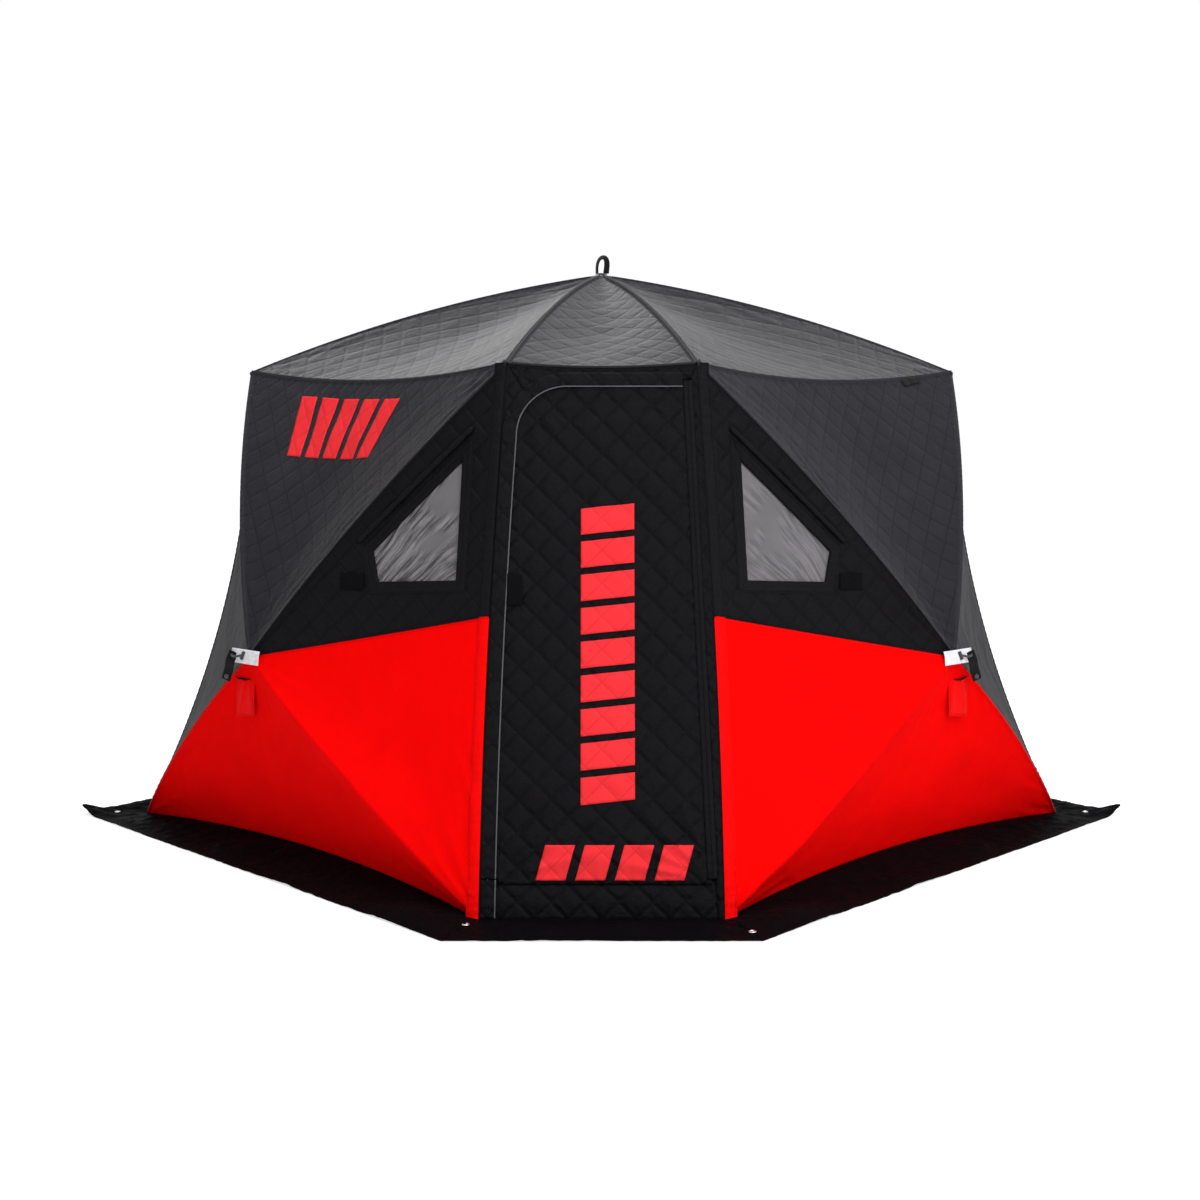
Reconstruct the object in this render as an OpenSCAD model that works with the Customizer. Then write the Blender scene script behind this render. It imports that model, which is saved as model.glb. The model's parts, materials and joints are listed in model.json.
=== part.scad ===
// Hub-style ice fishing hut: a six-sided quilted fabric shelter on bent rods, with a hinged fabric door.
// Millimetres, +Z up, front door towards -Y, origin on the ground at the middle of the plan.

/* [Plan and height] */
// Height of the roof peak
roof_height = 2085; // [1800:5:2600]
// Height of the eaves
eave_height = 1715; // [1450:5:2100]
// Distance from the centre to a side corner at the eaves
side_eave_x = 1340; // [1100:5:1700]
// Distance from the centre to a side corner on the ground
side_base_x = 1780; // [1500:5:2200]
// Distance from the centre to an end wall at the eaves
end_eave_y = 1160; // [950:5:1450]
// Distance from the centre to an end wall on the ground
end_base_y = 1580; // [1350:5:1950]
// Width of an end wall at the eaves
end_eave_w = 612; // [520:2:760]
// Width of an end wall on the ground
end_base_w = 760; // [640:2:940]
// Sideways place of a wall hub
hub_x = 1195; // [1100:5:1400]
// Endways place of a wall hub
hub_y = 945; // [850:5:1150]
// Height of a wall hub
hub_height = 735; // [600:5:900]

/* [Fabric] */
// Thickness of the quilted fabric
fabric_t = 8; // [5:0.5:12]
// How far the bent wall rods push the seams out
wall_bow = 40; // [10:1:60]
// How far the bent roof rods lift the seams
roof_bow = 45; // [10:1:70]
// Slack of a panel between its rods, as a share of the bow
panel_slack = 1.2; // [1:0.05:1.5]
// How far the long eaves dip in the middle
eave_dip = 45; // [5:1:70]
// How far the long eaves pull in
eave_pull = 30; // [5:1:60]
// How far the end eaves dip
end_eave_dip = 14; // [2:1:25]
// How far a side corner seam pulls in
corner_pull = 110; // [20:2:150]
// How far a long hem pulls in between the corners
hem_pull = 60; // [10:2:100]
// How far a long hem rises between the corners
hem_rise = 40; // [5:1:70]
// How far the door-side seams bow outward
end_seam_bow = 14; // [2:1:25]
// Height where the window panel meets the red panel on the door-side seam
split_height = 915; // [800:5:1000]

/* [Door] */
// Width of the latch jamb
latch_jamb_w = 26; // [18:1:60]
// Width of the hinge jamb at its ends
hinge_jamb_w = 34; // [24:1:60]
// Height of the header over the door
header_h = 42; // [30:1:90]
// Height of the sill under the door
sill_h = 120; // [60:2:200]
// Radius of the door's upper latch corner
door_corner_r = 185; // [120:5:220]
// Gap all round the door
door_gap = 7.5; // [4:0.5:9]
// Radius of the welt that the door turns on
welt_r = 5; // [4.5:0.25:7]
// Running gap round the welt
welt_gap = 0.5; // [0.3:0.1:0.9]
// Width of the rolled hem beside the welt
rolled_w = 11; // [9:0.5:14]
// Width of the storm flap over the zip
flap_w = 46; // [30:1:70]
// How far the storm flap laps past the door edge
flap_lap = 22; // [10:1:24]
// Thickness of the storm flap
flap_t = 3; // [2:0.5:5]
// Height of the storm flap over the jambs, which leaves room for the zip
flap_lift = 5; // [5:0.5:8]

/* [Windows] */
// Margin of the window beside the door seam
window_side_margin = 131; // [90:1:170]
// Margin of the window's slanted edge under the rod seam, at the eave
window_top_margin = 140; // [110:2:170]
// The same margin at the hub
window_rod_margin = 62; // [50:2:90]
// How far the window's foot stands over the split seam, along the door seam
window_foot_margin = 112; // [80:2:150]
// How far the window's foot reaches from the door seam towards the hub
window_reach = 438; // [300:2:480]
// Lean of the window's edge towards the hub
window_lean = 12; // [0:1:25]
// Thickness of the clear window sheet
pane_t = 2; // [1:0.5:3]

/* [Rods and hubs] */
// Radius of a rod
rod_r = 5.5; // [4:0.5:8]
// Radius of a corner bracket
bracket_r = 18; // [14:1:24]
// Radius of a foot pad
foot_r = 22; // [16:1:28]
// Thickness of a foot pad
foot_h = 12; // [6:1:16]
// Radius of a wall hub
wall_hub_r = 32; // [24:1:44]
// Radius of the roof hub
roof_hub_r = 40; // [30:1:54]
// Length of a hub body
hub_body_h = 30; // [24:1:40]
// Radius of the stud through the fabric
stud_r = 9; // [6:0.5:11]
// Radius of the cap on a stud
stud_cap_r = 24; // [18:1:28]
// Thickness of the cap
stud_cap_t = 4; // [2:0.5:6]

/* [Skirt and trim] */
// Width of the skirt at a side corner
skirt_side_w = 255; // [150:5:400]
// Width of the skirt in front of an end wall
skirt_end_w = 245; // [150:5:400]
// How far the skirt corners spread past an end wall
skirt_spread = 95; // [40:5:160]
// Thickness of the skirt
skirt_t = 3; // [2:0.5:5]
// Radius of an anchor hole in the skirt
anchor_hole_r = 7; // [5:0.5:10]
// Distance of an anchor hole from the corner of the hem
anchor_out = 112; // [60:2:120]
// Length of the tag on a hub
tag_l = 126; // [80:2:160]
// Height of the tag on a hub
tag_h = 48; // [30:1:60]
// Length of a pull strap
strap_l = 120; // [80:5:160]
// Width of the webbing
webbing_w = 25; // [18:1:40]
// Thickness of the webbing
webbing_t = 2.5; // [1.5:0.5:4]
// Height of the loop on the roof
loop_h = 66; // [40:2:90]

/* [Hidden] */
$fn = 48;

charcoal = "#4a4b50";
black_cloth = "#1c1c1f";
red_cloth = "#c4161c";
clear_sheet = "#9fa6ab";
plastic = "#202124";
silver = "#d9dbdc";

seat = 0.4;         // what lies against the fabric stays this far from it
panel_rows = 8;     // steps from an edge to a hub
panel_cols = 8;     // steps along an edge
rod_sides = 8;      // sides of a rod
rod_steps = 10;     // steps along a rod
stud_gap = 2;       // gap between a stud and the hole that it passes
bracket_clear = 9;  // extra depth of a bracket inside its corner
hub_slack = 7;      // room between a hub body's edge and the steepest slope beside it
rod_gap = 0.4;      // gap between a rod's end and the side of its hub
cap_taper = 0.8;    // share of a cap's radius at its top
skirt_rows = 5;     // steps across the skirt
skirt_lead = [0.4, -1, 0]; // direction in which the skirt leaves an end corner
anchor_shift = 20;  // how far the end anchor holes stand aside of the corners
loop_spread = 2.4;  // height of the roof loop over half its width
loop_crown = 0.35;  // share of that half width at the loop's top
flap_seam_in = 2;   // the storm flap is sewn down this far inside the door's edge
skirt_gap = 2.5;    // gap between the hem and the skirt
hem_tuck = 1;       // how far the rolled hem tucks into the jamb
foot_set = 24;      // how far a foot stands in from the leaning seams, past its own radius

function mid(a, b, t) = a + (b - a) * t;
function arch(t) = 4 * t * (1 - t);
function unit(v) = v / norm(v);
function plane_out(a, b, c) =
    let (n = unit(cross(b - a, c - a)), from = (a + b + c) / 3 - [0, 0, eave_height / 2])
    n * from > 0 ? n : -n;
// Vector that moves a corner inside three planes by the depths e1, e2 and e3
function inset(n1, n2, n3, e1, e2, e3) =
    -(e1 * cross(n2, n3) + e2 * cross(n3, n1) + e3 * cross(n1, n2)) / (n1 * cross(n2, n3));

// Corners of the front right quarter
peak = [0, 0, roof_height];
eave_side = [side_eave_x, 0, eave_height];
eave_end = [end_eave_w / 2, -end_eave_y, eave_height];
base_side = [side_base_x, 0, 0];
base_end = [end_base_w / 2, -end_base_y, 0];
hub_at = [hub_x, -hub_y, hub_height];

function flip_x(p) = [-p.x, p.y, p.z];
function flip_y(p) = [p.x, -p.y, p.z];

// Planes of the front right quarter
roof_out = plane_out(peak, eave_end, eave_side);
roof_end_out = plane_out(peak, eave_end, flip_x(eave_end));
top_out = plane_out(eave_end, eave_side, hub_at);
side_out = plane_out(eave_side, base_side, hub_at);
hem_out = plane_out(base_side, base_end, hub_at);
window_out = plane_out(base_end, eave_end, hub_at);
end_out = plane_out(base_end, eave_end, flip_x(eave_end));
hub_out = unit(top_out + side_out + hem_out + window_out);

// Depth vectors: each gives one millimetre of depth inside the panels that meet there
peak_in = inset(roof_out, flip_y(roof_out), flip_x(roof_out), 1, 1, 1);
eave_side_in = inset(roof_out, flip_y(roof_out), side_out, 1, 1, 1);
eave_end_in = inset(roof_end_out, end_out, window_out, 1, 1, 1);
base_side_in = inset(side_out, flip_y(side_out), [0, 0, 1], 1, 1, 0);
base_end_in = inset(end_out, window_out, [0, 0, 1], 1, 1, 0);
hub_in = -hub_out / (hub_out * window_out);

// Edges of the quarter, as curves from t = 0 to 1
wall_run = unit([eave_side.x - eave_end.x, eave_side.y - eave_end.y, 0]);
wall_inward = [-wall_run.y, wall_run.x, 0];
split_t = 1 - split_height / eave_height;
function eave(t) = mid(eave_end, eave_side, t) + arch(t) * (eave_pull * wall_inward - [0, 0, eave_dip]);
function side_seam(t) = mid(eave_side, base_side, t) - arch(t) * [corner_pull, 0, 0];
function hem(t) = mid(base_side, base_end, t) + arch(t) * (hem_pull * wall_inward + [0, 0, hem_rise]);
function end_seam(t) = mid(eave_end, base_end, t) + arch(t) * [end_seam_bow, 0, 0];
// From the left end corner to the right one
function end_eave(t) = mid(flip_x(eave_end), eave_end, t) - arch(t) * end_eave_dip * slope_up;

// Frame of the front end wall: u is across, v up the slope, n outward
slope_l = norm(mid(base_end, flip_x(base_end), 0.5) - mid(eave_end, flip_x(eave_end), 0.5));
slope_up = [0, end_base_y - end_eave_y, eave_height] / slope_l;
function on_end(u, v, n) = [u, -end_base_y, 0] + v * slope_up + n * end_out;
module on_end_wall() {
    multmatrix([[1, 0, 0, 0], [0, slope_up.y, end_out.y, -end_base_y], [0, slope_up.z, end_out.z, 0]])
        children();
}

// Steps along the door-side seam, closer together near the top, where the door corner is round
upper_ts = [for (i = [0:panel_cols]) split_t * pow(i / panel_cols, 1.5)];
lower_ts = [for (i = [0:panel_cols / 2]) mid(split_t, 1, i / (panel_cols / 2))];
even_ts = [for (i = [0:panel_cols]) i / panel_cols];

// A closed skin from rings. A ring has its outer points first, then the inner ones backwards.
// turned is for rings that run the other way round the panel.
module skin(rings, turned = false) {
    k = len(rings[0]);
    half = k / 2;
    rows = len(rings) - 1;
    points = [for (ring = rings) each ring];
    around = [for (i = [0:rows - 1]) for (j = [0:k - 1])
        let (a = i * k + j, b = i * k + (j + 1) % k)
        each [[a, b, b + k], [a, b + k, a + k]]];
    near = [for (j = [0:half - 2]) each [[k - 1 - j, j + 1, j], [k - 1 - j, k - 2 - j, j + 1]]];
    far = [for (f = near) [rows * k + f[0], rows * k + f[2], rows * k + f[1]]];
    faces = [each around, each near, each far];
    polyhedron(points, turned ? [for (f = faces) [f[2], f[1], f[0]]] : faces);
}

// One ring of a panel: from an edge point to a hub, with the fabric's two faces
function wall_ring(edge, edge_in, apex, apex_in, bow, lift, last, rows, top, under) =
    let (steps = [for (i = [0:rows]) last * i / rows])
    let (at = function (s, depth) mid(edge + depth * edge_in, apex + depth * apex_in, s)
        + arch(s) * lift * bow)
    [for (s = steps) at(s, top), for (i = [rows:-1:0]) at(steps[i], under)];

// The bow of a panel is full at its rods and slack between them
function bow_at(t) = 1 - panel_slack * arch(t);

function hole_share(a, b, r) = 1 - r / norm(b - a);
hub_hole_r = stud_r + stud_gap;

function top_ring(t) = wall_ring(eave(t), mid(eave_end_in, eave_side_in, t), hub_at, hub_in,
    wall_bow * hub_out, bow_at(t), hole_share(eave(t), hub_at, hub_hole_r), panel_rows, 0, fabric_t);
function side_ring(t) = wall_ring(side_seam(t), mid(eave_side_in, base_side_in, t), hub_at, hub_in,
    wall_bow * hub_out, bow_at(t), hole_share(side_seam(t), hub_at, hub_hole_r), panel_rows, 0, fabric_t);
function hem_ring(t) = wall_ring(hem(t), mid(base_side_in, base_end_in, t), hub_at, hub_in,
    wall_bow * hub_out, bow_at(t), hole_share(hem(t), hub_at, hub_hole_r), panel_rows, 0, fabric_t);
function end_ring(t, top, under) = wall_ring(end_seam(t), mid(eave_end_in, base_end_in, t), hub_at,
    hub_in, wall_bow * hub_out, bow_at(t), hole_share(end_seam(t), hub_at, hub_hole_r), panel_rows,
    top, under);
function roof_ring(edge, edge_in, t) = wall_ring(edge, edge_in, peak, peak_in,
    [0, 0, roof_bow], bow_at(t), hole_share(edge, peak, hub_hole_r), panel_rows, 0, fabric_t);

module top_panel() { skin([for (t = even_ts) top_ring(t)], turned = true); }
module side_panel() { skin([for (t = even_ts) side_ring(t)], turned = true); }
module lower_panel() {
    hem_back = [for (i = [panel_cols - 1:-1:0]) hem_ring(even_ts[i])];
    skin([for (t = lower_ts) end_ring(t, 0, fabric_t), each hem_back]);
}
module roof_side() { skin([for (t = even_ts) roof_ring(eave(t), mid(eave_end_in, eave_side_in, t), t)]); }
module roof_end() {
    skin([for (t = even_ts) roof_ring(end_eave(t), mid(flip_x(eave_end_in), eave_end_in, t), t)]);
}

// Window outline in the flat frame of the window panel: u runs down the door seam, v towards the hub
split_pt = end_seam(split_t);
win_u = unit(split_pt - eave_end);
win_v = cross(window_out, win_u);
function win_flat(p) = [(p - eave_end) * win_u, (p - eave_end) * win_v];
win_hub = win_flat(hub_at);
win_split = win_flat(split_pt);
// Line through two points moved aside by d, as [point, direction]
function moved(a, b, d) = let (r = unit(b - a)) [a + d * [-r.y, r.x], r];
function meet(l, m) =
    let (c = l[1].x * m[1].y - l[1].y * m[1].x, w = m[0] - l[0])
    l[0] + l[1] * ((w.x * m[1].y - w.y * m[1].x) / c);
function window_outline(grow) =
    let (seam_l = moved([0, 0], win_split, window_side_margin - grow))
    let (foot = win_split.x - window_foot_margin, rod_out = [-unit(win_hub).y, unit(win_hub).x])
    let (foot_l = [[foot + grow, 0], [0, 1]])
    let (rod_l = moved(win_hub - window_rod_margin * rod_out, -window_top_margin * rod_out, -grow))
    let (hub_l = moved([foot, window_reach], [foot, window_reach] + [-cos(window_lean), sin(window_lean)], -grow))
    [meet(rod_l, seam_l), meet(seam_l, foot_l), meet(foot_l, hub_l), meet(hub_l, rod_l)];

module window_prism(grow) {
    depth = 400;
    multmatrix([for (i = [0:2]) [win_u[i], win_v[i], window_out[i], eave_end[i]]])
        translate([0, 0, -depth / 2]) linear_extrude(depth) polygon(window_outline(grow));
}
module window_panel() {
    difference() {
        skin([for (t = upper_ts) end_ring(t, 0, fabric_t)]);
        window_prism(0);
    }
}
module window_sheet() {
    pane_top = (fabric_t - pane_t) / 2;
    intersection() {
        skin([for (t = upper_ts) end_ring(t, pane_top, pane_top + pane_t)]);
        window_prism(-seat);
    }
}

// Door outline, in the frame of the end wall
function end_half_w(v) = end_seam(1 - v / slope_l).x;
function hinge_u(v) = mid(base_end.x, eave_end.x, v / slope_l) - hinge_jamb_w;
door_top = slope_l - end_eave_dip - header_h;
corner_v = door_top - door_corner_r;
corner_u = -end_half_w(corner_v) + latch_jamb_w + door_corner_r;
function latch_edge(v, off) = -end_half_w(v) + latch_jamb_w + off;
function corner_pt(a, off) = [corner_u, corner_v] + (door_corner_r - off) * [-cos(a), sin(a)];

// Opening side of the latch jamb at height v of its seam
function latch_side(v) =
    v < corner_v ? [latch_edge(v, 0), v] : corner_pt(45 * (v - corner_v) / (slope_l - corner_v), 0);
// Opening side of the header over the point u of the eave
function header_side(u) =
    let (left = -eave_end.x, right = eave_end.x, hinge = hinge_u(door_top) + rolled_w)
    u < corner_u
        ? corner_pt(45 + 45 * (u - left) / (corner_u - left), 0)
        : [mid(corner_u, hinge, (u - corner_u) / (right - corner_u)), door_top];

function strip_ring(edge, edge_in, side) = [edge, on_end(side.x, side.y, 0),
    on_end(side.x, side.y, -fabric_t), edge + fabric_t * edge_in];
seam_ts = [each upper_ts, for (i = [1:len(lower_ts) - 1]) lower_ts[i]];

module door_latch_jamb() {
    color(black_cloth) skin([for (t = seam_ts)
        strip_ring(flip_x(end_seam(t)), flip_x(mid(eave_end_in, base_end_in, t)),
            latch_side((1 - t) * slope_l))]);
}
module door_header() {
    color(black_cloth) skin([for (t = even_ts)
        strip_ring(end_eave(t), mid(flip_x(eave_end_in), eave_end_in, t), header_side(end_eave(t).x))],
        turned = true);
}
// The jamb's edge is a rolled hem, hollowed for the welt and cut back outside, where the open door stands
module door_hinge_jamb() {
    color(black_cloth) {
        skin([for (t = seam_ts)
            let (v = (1 - t) * door_top)
            strip_ring(end_seam(t), mid(eave_end_in, base_end_in, t), [hinge_u(v) + rolled_w, v])],
            turned = true);
        on_hinge() translate([0, 0, sill_h + seat]) linear_extrude(door_top - sill_h - 2 * seat) difference() {
            translate([0, hem_tuck - fabric_t / 2]) square([rolled_w + hem_tuck, fabric_t / 2 - hem_tuck]);
            circle(r = welt_r + welt_gap);
        }
    }
}
module door_sill() {
    side = rolled_w - seat;
    color(black_cloth) on_end_wall() translate([0, 0, -fabric_t]) linear_extrude(fabric_t)
        polygon([[latch_edge(0, seat), 0], [latch_edge(sill_h, seat), sill_h],
            [hinge_u(sill_h) + side, sill_h], [hinge_u(0) + side, 0]]);
}

// Frame of the hinge: z runs up the welt, x away from the door and y outward
hinge_dir = unit([hinge_u(slope_l) - hinge_u(0), slope_l]);
module on_hinge() {
    on_end_wall() translate([hinge_u(0), 0, -fabric_t / 2]) rotate([0, 0, -atan2(hinge_dir.x, hinge_dir.y)])
        rotate([-90, 0, 0]) mirror([0, 1, 0]) children();
}

door_low = sill_h + door_gap;
door_high = door_top - door_gap;
latch_vs = [for (i = [0:6]) mid(door_low, corner_v, i / 6)];
corner_steps = 8;
module door_flap() {
    outline = [for (v = latch_vs) [latch_edge(v, door_gap), v],
        for (i = [1:corner_steps]) corner_pt(90 * i / corner_steps, door_gap),
        [hinge_u(door_high), door_high], [hinge_u(door_low), door_low]];
    color(black_cloth) {
        on_end_wall() translate([0, 0, -fabric_t]) linear_extrude(fabric_t) polygon(outline);
        on_hinge() translate([0, 0, door_low]) cylinder(r = welt_r, h = door_high - door_low);
    }
}
// The storm flap hides the zip, and turns with the door
module storm_flap() {
    outer = -flap_lap;
    inner = flap_w - flap_lap;
    function band(off) = [for (v = latch_vs) [latch_edge(v, off), v],
        for (i = [1:corner_steps]) corner_pt(90 * i / corner_steps, off)];
    end_u = hinge_u(door_top) - 3 * welt_r;
    back = band(inner);
    function outline(from) = [each band(from), [end_u, door_top - from], [end_u, door_top - inner],
        for (i = [len(back) - 1:-1:0]) back[i]];
    color(black_cloth) on_end_wall() {
        translate([0, 0, flap_lift]) linear_extrude(flap_t) polygon(outline(outer));
        translate([0, 0, seat]) linear_extrude(flap_lift + flap_t / 2 - seat)
            polygon(outline(door_gap + flap_seam_in));
    }
}

// The closed end wall, between its two seams
module back_wall() {
    function across(t, depth) =
        let (p = end_seam(t) + depth * mid(eave_end_in, base_end_in, t))
        [for (s = even_ts) mid(flip_x(p), p, s) - arch(s) * (1 - t) * (1 - t) * end_eave_dip * slope_up];
    function wall_row(t) = [each across(t, 0),
        for (i = [panel_cols:-1:0]) across(t, fabric_t)[i]];
    color(black_cloth) mirror([0, 1, 0]) skin([for (t = seam_ts) wall_row(t)]);
}

// Skirt on the ground, from the hem outward
skirt_side = base_side + [skirt_side_w, 0, 0];
skirt_end = base_end + [skirt_spread, -skirt_end_w, 0];
function skirt_ring(edge, out, rim) =
    let (start = edge + skirt_gap * out)
    let (line = [for (i = [0:skirt_rows])
        let (s = i / skirt_rows, p = mid(start, rim, s)) [p.x, p.y, edge.z * pow(1 - s, 2) + skirt_t]])
    [each line, for (i = [skirt_rows:-1:0]) line[i] - [0, 0, skirt_t]];
module skirt_wall() {
    skin([for (t = even_ts) skirt_ring(hem(t), mid([1, 0, 0], unit(skirt_lead), t),
        mid(skirt_side, skirt_end, t))]);
}
module anchor_hole(corner, rim) {
    translate(mid(corner, rim, anchor_out / norm(rim - corner)))
        cylinder(r = anchor_hole_r, h = 8 * skirt_t, center = true);
}
module skirt_side_pair() {
    from = base_end + [anchor_shift, 0, 0];
    to = skirt_end + [2 * anchor_shift, 0, 0];
    color(black_cloth) difference() {
        union() {
            skirt_wall();
            mirror([0, 1, 0]) skirt_wall();
        }
        anchor_hole(base_side, skirt_side);
        anchor_hole(from, to);
        mirror([0, 1, 0]) anchor_hole(from, to);
    }
}
module skirt_end_wall() {
    color(black_cloth) linear_extrude(skirt_t) polygon([
        [-base_end.x, base_end.y - skirt_gap], [-skirt_end.x + seat, skirt_end.y],
        [skirt_end.x - seat, skirt_end.y], [base_end.x, base_end.y - skirt_gap]]);
}

// Joints of the rods, inside the corners
bracket_depth = fabric_t + bracket_r + bracket_clear;
side_joint = eave_side + bracket_depth * eave_side_in;
end_joint = eave_end + bracket_depth * eave_end_in;
foot_lift = bracket_r;
side_foot = base_side + (foot_r + foot_set) * base_side_in + [0, 0, foot_lift];
end_foot = base_end + (foot_r + foot_set) * base_end_in + [0, 0, foot_lift];
// A hub's body stands under the steepest of the slopes beside it
up = [0, 0, 1];
function steepness(out, axis) = norm(cross(out, axis)) / (out * axis);
function body_top(body_r, axis, outs) = -fabric_t - hub_slack - body_r * max([for (o = outs) steepness(o, axis)]);
wall_body_top = body_top(wall_hub_r, hub_out, [top_out, side_out, hem_out, window_out]);
roof_body_top = body_top(roof_hub_r, up, [roof_out, roof_end_out]);
hub_joint = hub_at + wall_body_top * hub_out;
peak_joint = peak + roof_body_top * up;
// How far from a hub's joint a bent rod ends, beside the body: axis is the hub's, and the bow lies along it
function rod_end(from, joint, bow, axis, body_r) =
    let (reach = norm(from - joint), chord = (from - joint) / reach)
    let (side = unit(chord - (chord * axis) * axis), run = unit(chord + 4 * bow / reach))
    (body_r + rod_gap + rod_r * norm(cross(run, side))) / (chord * side);

// A bent rod from a joint to a hub, held a little short of both
module rod(from, to, bow, start, end) {
    reach = norm(to - from);
    s0 = start / reach;
    s1 = 1 - end / reach;
    function at(s) = mid(from, to, s) + arch(s) * bow;
    along = unit(to - from);
    side_dir = unit(cross(along, bow));
    over_dir = cross(side_dir, along);
    rings = [for (i = [0:rod_steps])
        let (s = mid(s0, s1, i / rod_steps), turn = (1 - 2 * s) * 4 * norm(bow) / reach)
        let (over = unit(over_dir * (bow * over_dir > 0 ? 1 : -1) - turn * along))
        [for (j = [0:rod_sides - 1])
            at(s) + rod_r * (cos(360 * j / rod_sides) * side_dir + sin(360 * j / rod_sides) * over)]];
    skin(rings);
}
rod_start = bracket_r - seat;
module wall_rod(from) {
    bow = wall_bow * hub_out;
    rod(from, hub_joint, bow, rod_start, rod_end(from, hub_joint, bow, hub_out, wall_hub_r));
}
module roof_rod(from) {
    bow = roof_bow * up;
    rod(from, peak_joint, bow, rod_start, rod_end(from, peak_joint, bow, up, roof_hub_r));
}
module wall_rods() {
    color(plastic) for (from = [side_joint, end_joint, side_foot, end_foot]) wall_rod(from);
}
module roof_rods() {
    color(plastic) {
        for (x = [0, 1]) mirror([x, 0, 0]) {
            roof_rod(side_joint);
            for (y = [0, 1]) mirror([0, y, 0]) roof_rod(end_joint);
        }
    }
}
module both_sides(middle) {
    for (x = [0, 1]) mirror([x, 0, 0]) {
        if (middle) children(0);
        for (y = [0, 1]) mirror([0, y, 0]) children($children - 1);
    }
}
module corner_brackets() {
    color(plastic) both_sides(true) {
        translate(side_joint) sphere(r = bracket_r);
        translate(end_joint) sphere(r = bracket_r);
    }
}
module foot(at) {
    translate(at) sphere(r = bracket_r);
    translate([at.x, at.y, 0]) cylinder(r = foot_r, h = foot_h);
}
module feet() {
    color(plastic) both_sides(true) {
        foot(side_foot);
        foot(end_foot);
    }
}

// A hub under the fabric, with a stud through it and a cap outside. Its +z points outward from the skin.
module hub(body_r, top) {
    translate([0, 0, top - hub_body_h]) cylinder(r = body_r, h = hub_body_h);
    translate([0, 0, top - 1]) cylinder(r = stud_r, h = 1 - top);
    translate([0, 0, -1]) cylinder(r1 = stud_cap_r, r2 = stud_cap_r * cap_taper, h = stud_cap_t);
}
hub_turn = atan2(hub_out.y, hub_out.x);
hub_tip = acos(hub_out.z);
module on_hub() {
    translate(hub_at) rotate([0, 0, hub_turn]) rotate([0, hub_tip, 0]) children();
}
module wall_hubs() {
    color(plastic) both_sides(false) on_hub() hub(wall_hub_r, wall_body_top);
}
module roof_hub() {
    color(plastic) translate(peak) hub(roof_hub_r, roof_body_top);
}
tag_t = 1.5;
cap_top = stud_cap_t - 1;
module hub_tags() {
    color(silver) both_sides(false) on_hub() translate([-tag_h / 2, -tag_l / 2, cap_top])
        cube([tag_h, tag_l, tag_t]);
}
// The strap hangs from the cap, over the tag
module pull_straps() {
    color(black_cloth) both_sides(false) on_hub()
        translate([-webbing_w / 2, -webbing_w / 2, cap_top + tag_t]) cube([strap_l, webbing_w, webbing_t]);
}
module roof_loop() {
    half_l = loop_h / loop_spread;
    crown = half_l * loop_crown;
    bend = [[-half_l, 0], [-crown, loop_h], [crown, loop_h], [half_l, 0]];
    color(black_cloth) translate([0, webbing_w / 2, roof_height + cap_top]) rotate([90, 0, 0])
        linear_extrude(webbing_w) difference() {
            polygon(bend);
            offset(delta = -webbing_t) polygon(bend);
        }
}

module placed(left, back) {
    mirror([left ? 1 : 0, 0, 0]) mirror([0, back ? 1 : 0, 0]) children();
}

color(charcoal) roof_end();  // roof_front
color(charcoal) placed(false, true) roof_end();  // roof_back
color(charcoal) placed(true, false) roof_side();  // roof_front_left
color(charcoal) placed(false, false) roof_side();  // roof_front_right
color(charcoal) placed(true, true) roof_side();  // roof_back_left
color(charcoal) placed(false, true) roof_side();  // roof_back_right
color(charcoal) placed(true, false) top_panel();  // top_panel_front_left
color(charcoal) placed(false, false) top_panel();  // top_panel_front_right
color(charcoal) placed(true, true) top_panel();  // top_panel_back_left
color(charcoal) placed(false, true) top_panel();  // top_panel_back_right
color(charcoal) placed(true, false) side_panel();  // side_panel_front_left
color(charcoal) placed(false, false) side_panel();  // side_panel_front_right
color(charcoal) placed(true, true) side_panel();  // side_panel_back_left
color(charcoal) placed(false, true) side_panel();  // side_panel_back_right
color(black_cloth) placed(true, false) window_panel();  // window_panel_front_left
color(black_cloth) placed(false, false) window_panel();  // window_panel_front_right
color(black_cloth) placed(true, true) window_panel();  // window_panel_back_left
color(black_cloth) placed(false, true) window_panel();  // window_panel_back_right
color(red_cloth) placed(true, false) lower_panel();  // lower_panel_front_left
color(red_cloth) placed(false, false) lower_panel();  // lower_panel_front_right
color(red_cloth) placed(true, true) lower_panel();  // lower_panel_back_left
color(red_cloth) placed(false, true) lower_panel();  // lower_panel_back_right
color(clear_sheet) both_sides(false) window_sheet();  // window_sheets
door_latch_jamb();
door_header();
door_hinge_jamb();
door_sill();
door_flap();
storm_flap();
back_wall();
skirt_end_wall();  // skirt_front
placed(false, true) skirt_end_wall();  // skirt_back
placed(true, false) skirt_side_pair();  // skirt_left
placed(false, false) skirt_side_pair();  // skirt_right
placed(true, false) wall_rods();  // rods_front_left
placed(false, false) wall_rods();  // rods_front_right
placed(true, true) wall_rods();  // rods_back_left
placed(false, true) wall_rods();  // rods_back_right
roof_rods();
corner_brackets();
feet();
wall_hubs();
roof_hub();
hub_tags();
pull_straps();
roof_loop();
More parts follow.
